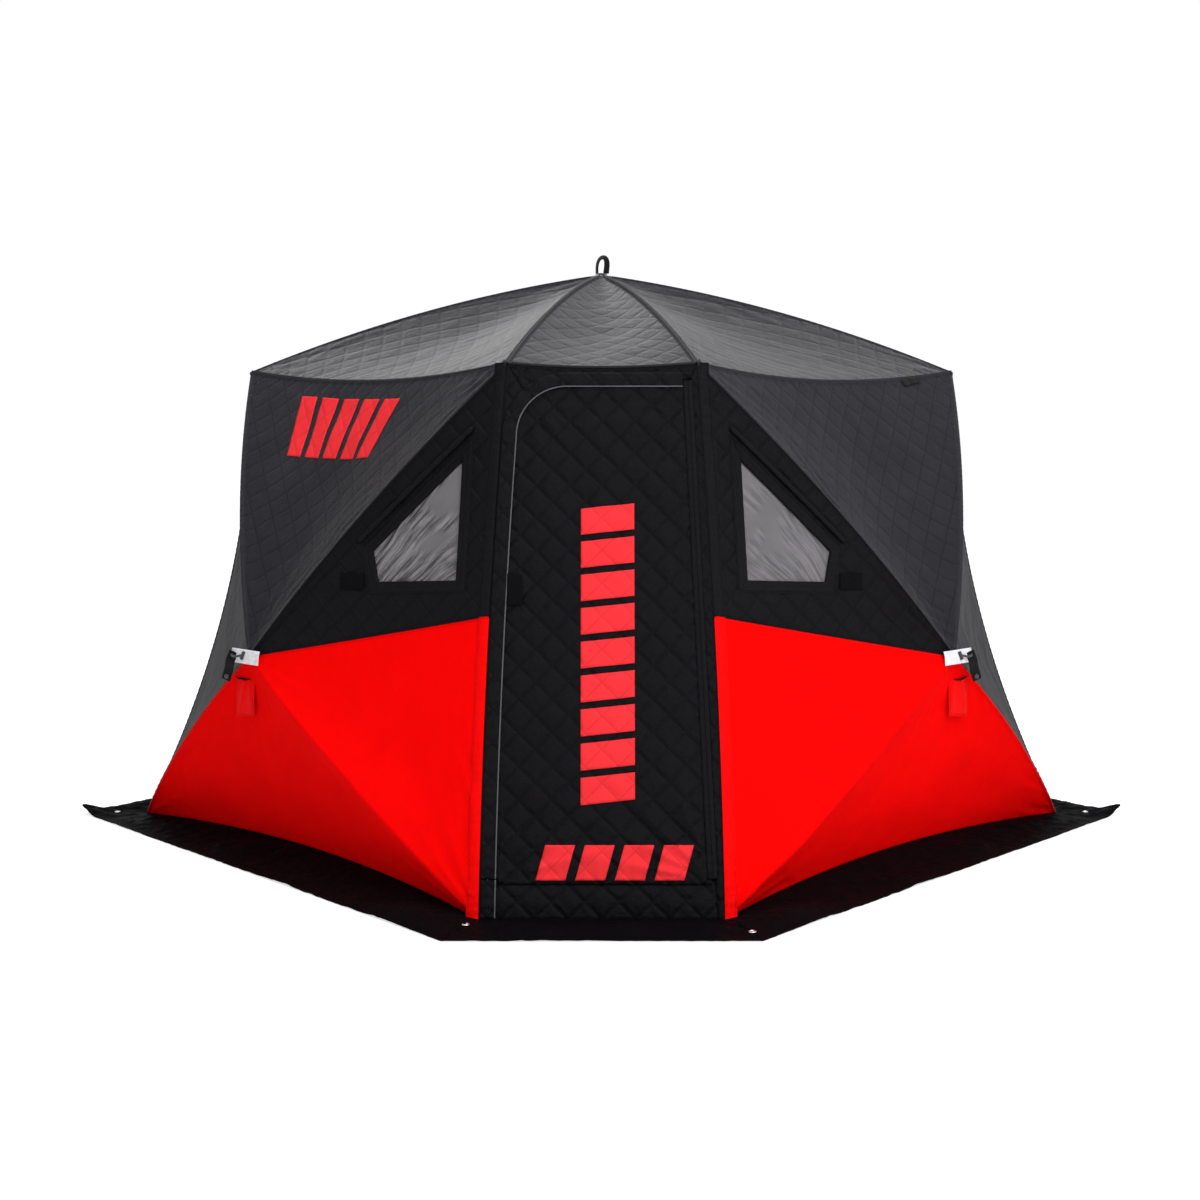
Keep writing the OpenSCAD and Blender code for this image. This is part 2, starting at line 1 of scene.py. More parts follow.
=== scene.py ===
import json
import math
import bmesh
import bpy
import numpy as np
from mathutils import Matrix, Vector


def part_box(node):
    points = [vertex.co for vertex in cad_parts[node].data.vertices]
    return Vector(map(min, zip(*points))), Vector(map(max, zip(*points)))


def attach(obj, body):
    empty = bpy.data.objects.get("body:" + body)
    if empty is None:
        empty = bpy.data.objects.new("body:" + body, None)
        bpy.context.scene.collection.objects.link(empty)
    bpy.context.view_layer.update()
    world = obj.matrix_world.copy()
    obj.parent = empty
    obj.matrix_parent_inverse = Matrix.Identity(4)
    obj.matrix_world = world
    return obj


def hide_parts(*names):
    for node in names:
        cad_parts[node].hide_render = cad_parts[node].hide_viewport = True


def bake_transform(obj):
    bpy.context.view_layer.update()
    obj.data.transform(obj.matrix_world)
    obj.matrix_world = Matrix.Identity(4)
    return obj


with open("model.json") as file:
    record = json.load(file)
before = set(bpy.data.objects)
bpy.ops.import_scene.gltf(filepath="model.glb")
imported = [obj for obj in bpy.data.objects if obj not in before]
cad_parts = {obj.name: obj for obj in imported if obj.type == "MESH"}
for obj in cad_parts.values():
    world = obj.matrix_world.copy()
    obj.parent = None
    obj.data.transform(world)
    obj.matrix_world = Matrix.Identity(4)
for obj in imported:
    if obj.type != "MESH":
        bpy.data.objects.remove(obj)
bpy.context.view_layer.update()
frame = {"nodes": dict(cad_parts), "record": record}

# camera
print("camera")
view = {"place": (-0.0055, -7.246, 1.528), "pitchDown": 0.0949, "lens": 56.4, "sensor": 36.0}

cameraData = bpy.data.cameras.new("camera")
cameraData.lens = view["lens"]
cameraData.sensor_width = view["sensor"]
camera = bpy.data.objects.new("camera", cameraData)
camera.location = view["place"]
camera.rotation_euler = (math.pi / 2 - view["pitchDown"], 0, 0)
bpy.context.scene.collection.objects.link(camera)
bpy.context.scene.camera = camera


# small helpers
def vec(x, y, z):
    return np.array([x, y, z], float)


def unit(v):
    return v / np.linalg.norm(v, axis=-1, keepdims=True)


def mid(a, b, t):
    t = np.asarray(t, float)[..., None]
    return a + (b - a) * t


def arch(t):
    return 4 * t * (1 - t)


def smooth(x, start, end):
    x = np.clip((x - start) / (end - start), 0, 1)
    return x * x * (3 - 2 * x)


def low(node, axis):
    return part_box(node)[0][axis]


def high(node, axis):
    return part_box(node)[1][axis]


def runningLength(line):
    # how far along a line each of its points is
    return np.concatenate([[0], np.cumsum(np.linalg.norm(np.diff(line, axis=0), axis=1))])


def flatGrid(rows, columns):
    # the flat map of a grid, from lengths along its rows and its columns
    return np.stack(np.broadcast_arrays(np.asarray(rows)[:, None], columns), axis=-1).reshape(-1, 2)


def edgesOf(corners):
    # each corner of an outline with the next one
    return zip(corners, np.roll(corners, -1, axis=0))


def softNoise(u, v, size, seed):
    # a sum of slanted waves around one size, from about -1 to 1
    pick = np.random.default_rng(seed)
    total = np.zeros_like(u)
    waves = 7
    for _ in range(waves):
        turn = pick.uniform(0, math.pi)
        number = 2 * math.pi / (size * pick.uniform(0.7, 1.5))
        along = u * math.cos(turn) + v * math.sin(turn)
        across = u * math.sin(turn) - v * math.cos(turn)
        total += np.sin(number * along + pick.uniform(0, 6.3) + 0.8 * np.sin(0.6 * number * across))
    return total / math.sqrt(waves) / 1.2


# corners and seams of the front right quarter
fabric = {
    "wallBow": 0.040, "roofBow": 0.045, "panelSlack": 1.2,     # bend of the rods and slack between them
    "eaveDip": 0.045, "eavePull": 0.030, "endEaveDip": 0.014,
    "cornerPull": 0.110, "hemPull": 0.060, "hemRise": 0.040, "seamBow": 0.014,
    "hubHole": 0.011, "step": 0.0125,                         # size of a triangle on a quilted panel
}

peak = vec(0, 0, high("roof_front", 2))
eaveSide = vec(high("top_panel_front_right", 0), 0, high("side_panel_front_right", 2))
eaveEnd = vec(high("roof_front", 0), low("roof_front_right", 1), eaveSide[2])
baseSide = vec(high("side_panel_front_right", 0), 0, 0)
baseEnd = vec(high("door_hinge_jamb", 0), low("door_hinge_jamb", 1), 0)
splitT = 1 - high("lower_panel_front_right", 2) / eaveSide[2]

tagCorners = np.array([v.co for v in frame["nodes"]["hub_tags"].data.vertices])
hubAt = tagCorners[(tagCorners[:, 0] > 0) & (tagCorners[:, 1] < 0)].mean(axis=0)
tagLift = 0.00375          # the tag's middle stands this far over the hub


def planeOut(a, b, c):
    n = unit(np.cross(b - a, c - a))
    return n if n @ ((a + b + c) / 3 - vec(0, 0, eaveSide[2] / 2)) > 0 else -n


hubOut = unit(planeOut(eaveEnd, eaveSide, hubAt) + planeOut(eaveSide, baseSide, hubAt)
              + planeOut(baseSide, baseEnd, hubAt) + planeOut(baseEnd, eaveEnd, hubAt))
hubAt = hubAt - tagLift * hubOut

wallRun = unit((eaveSide - eaveEnd) * vec(1, 1, 0))
wallInward = vec(-wallRun[1], wallRun[0], 0)
slopeLength = float(np.linalg.norm((eaveEnd - baseEnd) * vec(0, 1, 1)))
slopeUp = (eaveEnd - baseEnd) * vec(0, 1, 1) / slopeLength
endOut = vec(0, -slopeUp[2], slopeUp[1])
flipX = vec(-1, 1, 1)
inMiddle = vec(0, 0, 0.75)          # a point inside, from which outward is told


def eave(t):
    return mid(eaveEnd, eaveSide, t) + arch(t)[:, None] * (fabric["eavePull"] * wallInward
                                                         - vec(0, 0, fabric["eaveDip"]))


def sideSeam(t):
    return mid(eaveSide, baseSide, t) - arch(t)[:, None] * vec(fabric["cornerPull"], 0, 0)


def hem(t):
    return mid(baseSide, baseEnd, t) + arch(t)[:, None] * (fabric["hemPull"] * wallInward
                                                          + vec(0, 0, fabric["hemRise"]))


def endSeam(t):
    return mid(eaveEnd, baseEnd, t) + arch(t)[:, None] * vec(fabric["seamBow"], 0, 0)


def endEave(t):
    return mid(eaveEnd * flipX, eaveEnd, t) - arch(t)[:, None] * fabric["endEaveDip"] * slopeUp


def bowAt(t):
    return 1 - fabric["panelSlack"] * arch(t)


def fan(rim, share, apex, bow):
    # a panel from its rim (s = 0) to the hub or the peak (s = 1)
    def surface(q, s):
        edge = rim(q)
        return edge + (apex - edge) * s + (arch(s) * share(q))[:, None] * bow
    return surface


lowerTurn = 0.31           # where the lower panel's rim turns from the door seam to the hem


def lowerRim(q):
    onSeam = endSeam(splitT + (1 - splitT) * np.clip(q / lowerTurn, 0, 1))
    onHem = hem(1 - np.clip((q - lowerTurn) / (1 - lowerTurn), 0, 1))
    return np.where((q <= lowerTurn)[:, None], onSeam, onHem)


def lowerBow(q):
    return np.where(q <= lowerTurn, bowAt(splitT + (1 - splitT) * q / lowerTurn),
                    bowAt(1 - (q - lowerTurn) / (1 - lowerTurn)))


wallBow = fabric["wallBow"] * hubOut
roofBow = vec(0, 0, fabric["roofBow"])
topSurface = fan(eave, bowAt, hubAt, wallBow)
sideSurface = fan(sideSeam, bowAt, hubAt, wallBow)
windowSurface = fan(lambda q: endSeam(q * splitT), lambda q: bowAt(q * splitT), hubAt, wallBow)
lowerSurface = fan(lowerRim, lowerBow, hubAt, wallBow)
roofSideSurface = fan(eave, bowAt, peak, roofBow)
roofEndSurface = fan(endEave, bowAt, peak, roofBow)


def onEnd(u, v, n=0.0):
    # a point of the front end wall: u across, v up the slope, n outward
    u, v, n = (x[..., None] for x in np.broadcast_arrays(np.asarray(u, float), v, n))
    return vec(0, baseEnd[1], 0) + u * vec(1, 0, 0) + v * slopeUp + n * endOut


def endHalfWidth(v):
    return endSeam(1 - np.atleast_1d(v) / slopeLength)[:, 0]


splitPoint = endSeam(np.array([splitT]))[0]          # where the black and red cloth meet at the door

# materials
print("materials")


def newMaterial(name):
    material = bpy.data.materials.new(name)
    material.use_nodes = True
    return material, material.node_tree.nodes["Principled BSDF"]


def addNode(material, kind, inputs=None, **settings):
    node = material.node_tree.nodes.new(kind)
    for key, value in settings.items():
        setattr(node, key, value)
    for socket, value in (inputs or {}).items():
        setInput(material, node, socket, value)
    return node


def setInput(material, node, socket, value):
    if isinstance(value, bpy.types.NodeSocket):
        material.node_tree.links.new(value, node.inputs[socket])
    else:
        node.inputs[socket].default_value = value


def calc(material, operation, a, b=0.0, c=0.0):
    return addNode(material, "ShaderNodeMath", {0: a, 1: b, 2: c}, operation=operation).outputs[0]


def ramp(material, value, start, end, low=0.0, high=1.0):
    return addNode(material, "ShaderNodeMapRange", {"Value": value, "From Min": start, "From Max": end,
                                                    "To Min": low, "To Max": high},
                   interpolation_type="SMOOTHSTEP").outputs["Result"]


def around(material, value, start, end, part):
    # a factor from 1 - part to 1 + part
    return ramp(material, value, start, end, 1 - part, 1 + part)


def noise(material, coordinates, scale, detail=3.0, rough=0.55):
    return addNode(material, "ShaderNodeTexNoise", {"Vector": coordinates, "Scale": scale, "Detail": detail,
                                                    "Roughness": rough}).outputs["Fac"]


def shaded(material, colour, factor):
    # the colour times a factor that changes over the surface
    return addNode(material, "ShaderNodeVectorMath", {0: colour, "Scale": factor},
                   operation="SCALE").outputs["Vector"]


def bump(material, height, distance, normal=None, strength=1.0):
    inputs = {"Height": height, "Distance": distance, "Strength": strength}
    if normal is not None:
        inputs["Normal"] = normal
    return addNode(material, "ShaderNodeBump", inputs).outputs["Normal"]


quiltCell = 0.074          # side of a quilted square
stitching = {
    "line": (0.0008, 0.0030), "valley": (0.0005, 0.012),       # half widths round a line of the quilting
    "row": (0.0006, 0.0013), "groove": (0.0004, 0.0040), "grooveDepth": 0.0016,
    "dash": 0.003, "dashEdges": (0.0006, 0.0012),
}


def clothMaterial(name, look):
    # woven cloth, quilted where the look's stitch darkening is over 0, with its flat map in metres
    material, shader = newMaterial(name)
    flat = addNode(material, "ShaderNodeUVMap", uv_map="flat").outputs["UV"]
    uv = addNode(material, "ShaderNodeSeparateXYZ", {0: flat}).outputs
    heather = noise(material, flat, look["heatherScale"], 2.0)
    patches = noise(material, flat, 5.0, 3.0)
    crumple = noise(material, flat, look["crumpleScale"], 5.0, 0.62)
    tone = calc(material, "MULTIPLY", around(material, heather, 0.3, 0.7, look["heather"]),
                around(material, patches, 0.3, 0.7, look["patches"]))
    threads = [calc(material, "SINE", calc(material, "MULTIPLY", uv[axis], 2 * math.pi / look["thread"]))
               for axis in ("X", "Y")]
    weave = calc(material, "MULTIPLY", threads[0], threads[1])
    tone = calc(material, "MULTIPLY", tone, around(material, weave, -1, 1, look["weave"]))
    normal = bump(material, weave, look["thread"] * 0.25, None, 0.4)
    normal = bump(material, crumple, look["crumple"], normal)
    if look.get("stitchShade"):
        lines = []
        for sign in (1, -1):
            across = calc(material, "MULTIPLY_ADD", uv["Y"], sign, uv["X"])
            across = calc(material, "MULTIPLY", across, 1 / (math.sqrt(2) * quiltCell))
            near = calc(material, "PINGPONG", across, 0.5)      # 0 on a line, 0.5 between two
            lines.append(calc(material, "MULTIPLY", near, quiltCell))
        near = calc(material, "MINIMUM", lines[0], lines[1])
        # darker along the quilting lines: partly their dark thread, partly painted shade in the grooves
        # between the puffs
        line = ramp(material, near, *stitching["line"], 1.0, 0.0)
        tone = calc(material, "MULTIPLY", tone, calc(material, "MULTIPLY_ADD", line, -look["stitchShade"], 1.0))
        normal = bump(material, ramp(material, near, *stitching["valley"]), look["stitchDepth"], normal)
    if look.get("seam"):
        # one row of stitches along the line where the flat map's second number is 0
        near = calc(material, "ABSOLUTE", uv["Y"])
        dash = ramp(material, calc(material, "PINGPONG", uv["X"], stitching["dash"]), *stitching["dashEdges"])
        thread = calc(material, "MULTIPLY", ramp(material, near, *stitching["row"], 1.0, 0.0), dash)
        # the groove along the stitches is painted darker as painted shade, besides its bump
        groove = ramp(material, near, *stitching["groove"])
        shade = ramp(material, groove, 0.0, 1.0, 1 - 0.5 * look["seam"], 1.0)
        tone = calc(material, "MULTIPLY", tone, shade)
        tone = calc(material, "MULTIPLY_ADD", thread, look["seam"], tone)
        normal = bump(material, groove, stitching["grooveDepth"], normal)
    setInput(material, shader, "Base Color", shaded(material, look["colour"], tone))
    setInput(material, shader, "Normal", normal)
    shader.inputs["Roughness"].default_value = look["roughness"]
    shader.inputs["Sheen Weight"].default_value = look["sheen"]
    shader.inputs["Sheen Roughness"].default_value = look.get("sheenRoughness", 0.5)
    shader.inputs["Specular IOR Level"].default_value = look["specular"]
    return material


# a look's stitch darkening makes the quilting lines darker, for their thread and as painted shade in their
# grooves
quiltLook = {"heatherScale": 420.0, "heather": 0.16, "patches": 0.07, "thread": 0.0026, "weave": 0.10,
             "crumpleScale": 38.0, "crumple": 0.0035, "stitchShade": 0.45, "stitchDepth": 0.0018,
             "roughness": 0.62, "sheen": 0.0, "specular": 0.16}
charcoalLook = {**quiltLook, "colour": (0.0180, 0.0172, 0.0215), "sheen": 0.075, "sheenRoughness": 0.30,
                "heather": 0.24, "specular": 0.055, "stitchShade": 0.42, "stitchDepth": 0.0011, "crumple": 0.0028}
blackLook = {**quiltLook, "colour": (0.0032, 0.0027, 0.0037), "roughness": 0.40, "specular": 0.055,
             "crumple": 0.0050, "stitchDepth": 0.0026, "stitchShade": 0.60}
redLook = {**quiltLook, "colour": (0.97, 0.0012, 0.0012), "heather": 0.03, "patches": 0.03, "weave": 0.03,
           "stitchShade": 0.012, "stitchDepth": 0.0002, "crumple": 0.0015, "roughness": 0.75, "specular": 0.015}
bandLooks = {"stitchShade": 0, "seam": 0.75}
clothLooks = {
    "charcoal_quilt": charcoalLook,
    # the walls' charcoal cloth again with far more sheen, so that the roofs show lighter than the walls: a
    # painted sheen
    "roof_quilt_painted_sheen": {**charcoalLook, "sheen": 0.60, "sheenRoughness": 0.35},
    "black_quilt": blackLook,
    "red_quilt": redLook,
    "charcoal_band": {**charcoalLook, **bandLooks, "colour": (0.0240, 0.0232, 0.0280)},
    "black_band": {**blackLook, **bandLooks, "colour": (0.0040, 0.0035, 0.0045)},
    "red_band": {**redLook, **bandLooks, "seam": 0.6, "specular": 0.030, "roughness": 0.45,
                 "crumple": 0.0040},
    "flap_cloth": {**blackLook, "colour": (0.0034, 0.0029, 0.0039)},
    # lighter grey: partly the cord's own colour, partly a painted highlight along the storm flap's free edge
    "piping": {**charcoalLook, "stitchShade": 0, "colour": (0.105, 0.105, 0.120)},
    "lining": {**blackLook, "colour": (0.020, 0.021, 0.024), "stitchShade": 0.3},
    "skirt_cloth": {**blackLook, **bandLooks, "colour": (0.0036, 0.0032, 0.0040), "specular": 0.004,
                    "crumple": 0.006, "crumpleScale": 22.0, "seam": 0.5},
    "red_print": {**redLook, "colour": (0.88, 0.036, 0.044), "stitchShade": 0.16, "stitchDepth": 0.0012},
    "black_webbing": {**blackLook, "colour": (0.0070, 0.0068, 0.0076), "stitchShade": 0, "thread": 0.0036,
                      "weave": 0.35, "crumple": 0.001},
    "hook_tape": {**blackLook, "colour": (0.0032, 0.0030, 0.0036), "stitchShade": 0, "heatherScale": 900.0,
                  "heather": 0.5, "roughness": 0.9},
}
materials = {name: clothMaterial(name, look) for name, look in clothLooks.items()}


def plasticMaterial(name, colour, roughness, grain, metallic):
    material, shader = newMaterial(name)
    place = addNode(material, "ShaderNodeTexCoord").outputs["Object"]
    tone = around(material, noise(material, place, 60.0), 0.3, 0.7, 0.15)
    setInput(material, shader, "Base Color", shaded(material, colour, tone))
    setInput(material, shader, "Normal", bump(material, noise(material, place, 700.0, 2.0), grain))
    shader.inputs["Roughness"].default_value = roughness
    shader.inputs["Metallic"].default_value = metallic
    return material


plasticLooks = {                # colour, roughness, depth of the grain, metallic
    "black_plastic": ((0.018, 0.018, 0.020), 0.42, 0.0004, 0.0),
    "glass_fibre_rod": ((0.020, 0.020, 0.022), 0.30, 0.0002, 0.0),
    "eyelet_metal": ((0.80, 0.80, 0.80), 0.28, 0.0002, 1.0),
    "reflective_tag": ((0.72, 0.72, 0.76), 0.40, 0.0006, 0.0),
}
materials.update({name: plasticMaterial(name, *look) for name, look in plasticLooks.items()})


def vinylMaterial(name, look):
    # a creased clear sheet that looks grey against the dark inside: its grey base colour is a painted
    # reflection of the bright surroundings, on top of its real gloss, and its creases are painted lighter and
    # darker as highlights and shade
    material, shader = newMaterial(name)
    flat = addNode(material, "ShaderNodeUVMap", uv_map="flat").outputs["UV"]
    creased = addNode(material, "ShaderNodeAttribute", attribute_name="creased").outputs["Fac"]
    stretched = addNode(material, "ShaderNodeVectorMath", {0: flat, 1: (1.0, look["stretch"], 1.0)},
                        operation="MULTIPLY").outputs["Vector"]
    cloudy = noise(material, flat, look["cloudScale"], 4.0, 0.6)
    streaks = noise(material, stretched, look["streakScale"], 7.0, 0.72)
    # painted highlights and shade along the creases
    bright = ramp(material, streaks, 0.40, 0.60, -look["paintedCreaseLightShade"], look["paintedCreaseLightShade"])
    tone = calc(material, "MULTIPLY_ADD", bright, creased, around(material, cloudy, 0.3, 0.7, look["cloud"]))
    setInput(material, shader, "Base Color", shaded(material, look["colour"], tone))
    height = calc(material, "MULTIPLY", streaks, creased)
    setInput(material, shader, "Normal", bump(material, height, look["bump"], bump(material, cloudy, 0.004)))
    shader.inputs["Roughness"].default_value = look["roughness"]
    shader.inputs["Alpha"].default_value = look["alpha"]
    return material


# the grey colour is a painted reflection; the crease streak strength is painted highlight and shade along the
# creases
vinylLook = {"colour": (0.125, 0.118, 0.128), "cloudScale": 7.0, "cloud": 0.10, "streakScale": 60.0,
             "stretch": 0.07, "paintedCreaseLightShade": 0.80, "bump": 0.006, "roughness": 0.24, "alpha": 0.94}
materials["clear_vinyl"] = vinylMaterial("clear_vinyl", vinylLook)

# meshes
print("quilted panels")


def meshObject(name, points, faces, flat=None, material=None, smoothShade=True, second=None):
    mesh = bpy.data.meshes.new(name)
    mesh.from_pydata([tuple(p) for p in points], [], [tuple(int(i) for i in f) for f in faces])
    if flat is not None:
        layer = mesh.uv_layers.new(name="flat")
        corners = np.zeros(len(mesh.loops), np.int32)
        mesh.loops.foreach_get("vertex_index", corners)
        layer.data.foreach_set("uv", np.asarray(flat, np.float32)[corners].ravel())
    mesh.polygons.foreach_set("use_smooth", [smoothShade] * len(mesh.polygons))
    if material:
        mesh.materials.append(materials[material])
    if second:
        mesh.materials.append(materials[second[0]])
        marks = np.zeros(len(mesh.polygons), np.int32)
        marks[second[1]:] = 1
        mesh.polygons.foreach_set("material_index", marks)
    mesh.update()
    piece = bpy.data.objects.new(name, mesh)
    bpy.context.scene.collection.objects.link(piece)
    return piece


def lengthOf(line):
    return float(np.linalg.norm(np.diff(line, axis=0), axis=1).sum())


def rowsMesh(surface, knots, last, step):
    # rows from s = 0 to last, each with as many points as its length needs, and triangles between them
    reach = lengthOf(np.vstack([surface(np.array([0.4]), s) for s in np.linspace(0, last, 12)]))
    rows = max(2, round(reach / step))
    points, shares = [], []
    for i in range(rows + 1):
        s = last * i / rows
        share = [np.zeros(1)]
        for a, b in zip(knots[:-1], knots[1:]):
            count = max(1, round(lengthOf(surface(np.linspace(a, b, 12), s)) / step))
            share.append(np.linspace(a, b, count + 1)[1:])
        share = np.concatenate(share)
        share[0] = knots[0]
        shares.append(share)
        points.append(surface(share, s))
    faces = []
    start = 0
    for a, b in zip(shares[:-1], shares[1:]):
        after = start + len(a)
        i = j = 0
        while i < len(a) - 1 or j < len(b) - 1:
            if j == len(b) - 1 or (i < len(a) - 1 and a[i + 1] <= b[j + 1]):
                faces.append((start + i, start + i + 1, after + j))
                i += 1
            else:
                faces.append((start + i, after + j + 1, after + j))
                j += 1
        start = after
    return np.vstack(points), np.array(faces)


def faceNormals(points, faces):
    a, b, c = points[faces[:, 0]], points[faces[:, 1]], points[faces[:, 2]]
    return np.cross(b - a, c - a)


def pointNormals(points, faces):
    total = np.zeros_like(points)
    normals = faceNormals(points, faces)
    for k in range(3):
        np.add.at(total, faces[:, k], normals)
    return unit(total)


def borderLoops(faces):
    edges = {(int(f[i]), int(f[(i + 1) % 3])) for f in faces for i in range(3)}
    after = {a: b for a, b in edges if (b, a) not in edges}
    loops = []
    while after:
        start = min(after)
        loop = [start]
        nextOne = after.pop(start)
        while nextOne != start:
            loop.append(nextOne)
            nextOne = after.pop(nextOne)
        loops.append(loop)
    return loops


def cutOpening(points, faces, outline, normal):
    # cuts a four-cornered opening through the surface
    mesh = bmesh.new()
    made = [mesh.verts.new(p) for p in points]
    for f in faces:
        mesh.faces.new([made[i] for i in f])
    planes = []
    centre = outline.mean(axis=0)
    for a, b in edgesOf(outline):
        aside = unit(np.cross(normal, b - a))
        planes.append((a, aside if (centre - a) @ aside > 0 else -aside))
    for a, aside in planes:
        geometry = mesh.verts[:] + mesh.edges[:] + mesh.faces[:]
        bmesh.ops.bisect_plane(mesh, geom=geometry, plane_co=a, plane_no=aside, dist=1e-5)
    inside = [f for f in mesh.faces
              if all((np.array(f.calc_center_median()) - a) @ aside > 0 for a, aside in planes)]
    bmesh.ops.delete(mesh, geom=inside, context="FACES")
    bmesh.ops.remove_doubles(mesh, verts=mesh.verts, dist=0.0012)
    bmesh.ops.triangulate(mesh, faces=mesh.faces[:])
    mesh.verts.index_update()
    points = np.array([v.co for v in mesh.verts])
    faces = np.array([[v.index for v in f.verts] for f in mesh.faces])
    mesh.free()
    return points, faces


def flatFrame(points, faces):
    normal = unit(faceNormals(points, faces).sum(axis=0))
    right = unit(np.cross(vec(0, 0, 1), normal))
    return {"origin": points.mean(axis=0), "right": right, "up": np.cross(normal, right), "out": normal}


def toFlat(panel, points):
    away = points - panel["origin"]
    return away @ panel["right"], away @ panel["up"]


def nearBorder(panel, u, v):
    # distance to the nearest edge of the cloth, and how far along that edge it is
    best = np.full(u.shape, 9.0)
    along = np.zeros(u.shape)
    for a, b, at in panel["edges"]:
        run = b - a
        reach = run @ run
        share = np.clip(((u - a[0]) * run[0] + (v - a[1]) * run[1]) / reach, 0, 1)
        away = np.hypot(u - a[0] - share * run[0], v - a[1] - share * run[1])
        closer = away < best
        best = np.where(closer, away, best)
        along = np.where(closer, at + share * math.sqrt(reach), along)
    return best, along


def quiltSquares(u, v):
    # 0 on the quilting's lines and 1 in the middle of a square
    cell = math.sqrt(2) * quiltCell
    return np.abs(np.sin(math.pi * (u + v) / cell) * np.sin(math.pi * (u - v) / cell))


def clothHeight(panel, u, v):
    # slack, creases from the corners and puckers along the seams, and the quilting's puffs as a second height
    look, seed = panel["look"], panel["seed"]
    away, along = nearBorder(panel, u, v)
    puff = look["puff"] * quiltSquares(u, v) ** look["puffPower"] * smooth(away, *look["puffIn"])
    total = look["slack"] * softNoise(u, v, look["slackSize"], seed) * smooth(away, 0, look["slackIn"])
    folds = np.abs(softNoise(u, v, look["creaseSize"], seed + 1))
    total += look["crease"] * (0.6 - folds) * smooth(away, 0, look["creaseIn"])
    wave = along * 2 * math.pi / look["puckerStep"] + 2.0 * np.sin(along * 9 + seed)
    fading = np.exp(-away / look["puckerReach"])
    total += look["pucker"] * np.sin(wave + away * 30) * fading * smooth(away, 0.0, look["puckerIn"])
    for i, (start, end, size, reach) in enumerate(panel["pulls"]):
        a, b = (np.array(toFlat(panel, p)) for p in (start, end))
        run = unit(b - a)
        x = (u - a[0]) * run[0] + (v - a[1]) * run[1]
        y = np.abs((v - a[1]) * run[0] - (u - a[0]) * run[1])
        wander = 2.6 * np.sin(x * 5.1 + seed + i) + 1.3 * np.sin(x * 13.7 + 2 * seed)
        ridge = 1 - 2 * np.abs(np.sin(math.pi * y / look["pullStep"] + wander))
        patch = smooth(np.sin(x * 7.3 + y * 16 + seed) + 0.5 * np.sin(x * 19 + seed), -0.4, 1.0)
        total += size * ridge * patch * np.exp(-y / reach) * smooth(away, 0.0, look["foldIn"])
    for i, (place, count, size, reach) in enumerate(panel["pinches"]):
        pu, pv = toFlat(panel, place)
        du, dv = u - pu, v - pv
        far = np.hypot(du, dv)
        angle = np.arctan2(dv, du)
        ridge = 1 - 2 * np.abs(np.sin(count * angle / 2 + 0.9 * np.sin(3.1 * angle + i + seed) + seed))
        near = smooth(far, *look["pinchFrom"])
        total += size * ridge * np.exp(-far / reach) * near * smooth(away, 0, look["foldIn"])
    return total, puff


def polynomialTerms(u, v):
    return np.stack([u ** i * v ** j for i in range(5) for j in range(5 - i)], axis=-1)


def fitSurface(panel, points):
    # the panel's own surface as a smooth polynomial over its flat frame
    u, v = toFlat(panel, points)
    depth = (points - panel["origin"]) @ panel["out"]
    panel["fit"] = np.linalg.lstsq(polynomialTerms(u, v), depth, rcond=None)[0]


def onPanel(panel, flat, lift=0.0, cloth=True):
    # points over the cloth of a panel, or over its smooth surface
    u, v = flat[..., 0], flat[..., 1]
    depth = polynomialTerms(u, v) @ panel["fit"] + lift
    if cloth:
        total, puff = clothHeight(panel, u, v)
        depth = depth + total + puff
    return (panel["origin"] + u[..., None] * panel["right"] + v[..., None] * panel["up"]
            + depth[..., None] * panel["out"])


def placed(points, faces, signs):
    # mirrors a piece of the front right quarter into another one
    points = points * vec(signs[0], signs[1], 1)
    if signs[0] * signs[1] < 0:
        faces = [tuple(reversed(tuple(f))) for f in faces]
    return points, faces


# heights, sizes across, and how far in from the cloth's edge each comes to its full height
panelLook = {
    "thickness": 0.006, "rimThickness": 0.0012, "rimIn": 0.02, "puff": 0.0035, "puffPower": 0.7,
    "puffIn": (0.006, 0.042), "slack": 0.0045, "slackSize": 0.55, "slackIn": 0.22,
    "crease": 0.0030, "creaseSize": 0.26, "creaseIn": 0.10,
    "pucker": 0.0012, "puckerStep": 0.052, "puckerReach": 0.030, "puckerIn": 0.012,
    "pullStep": 0.055, "pinchFrom": (0.02, 0.12), "foldIn": 0.03,
}


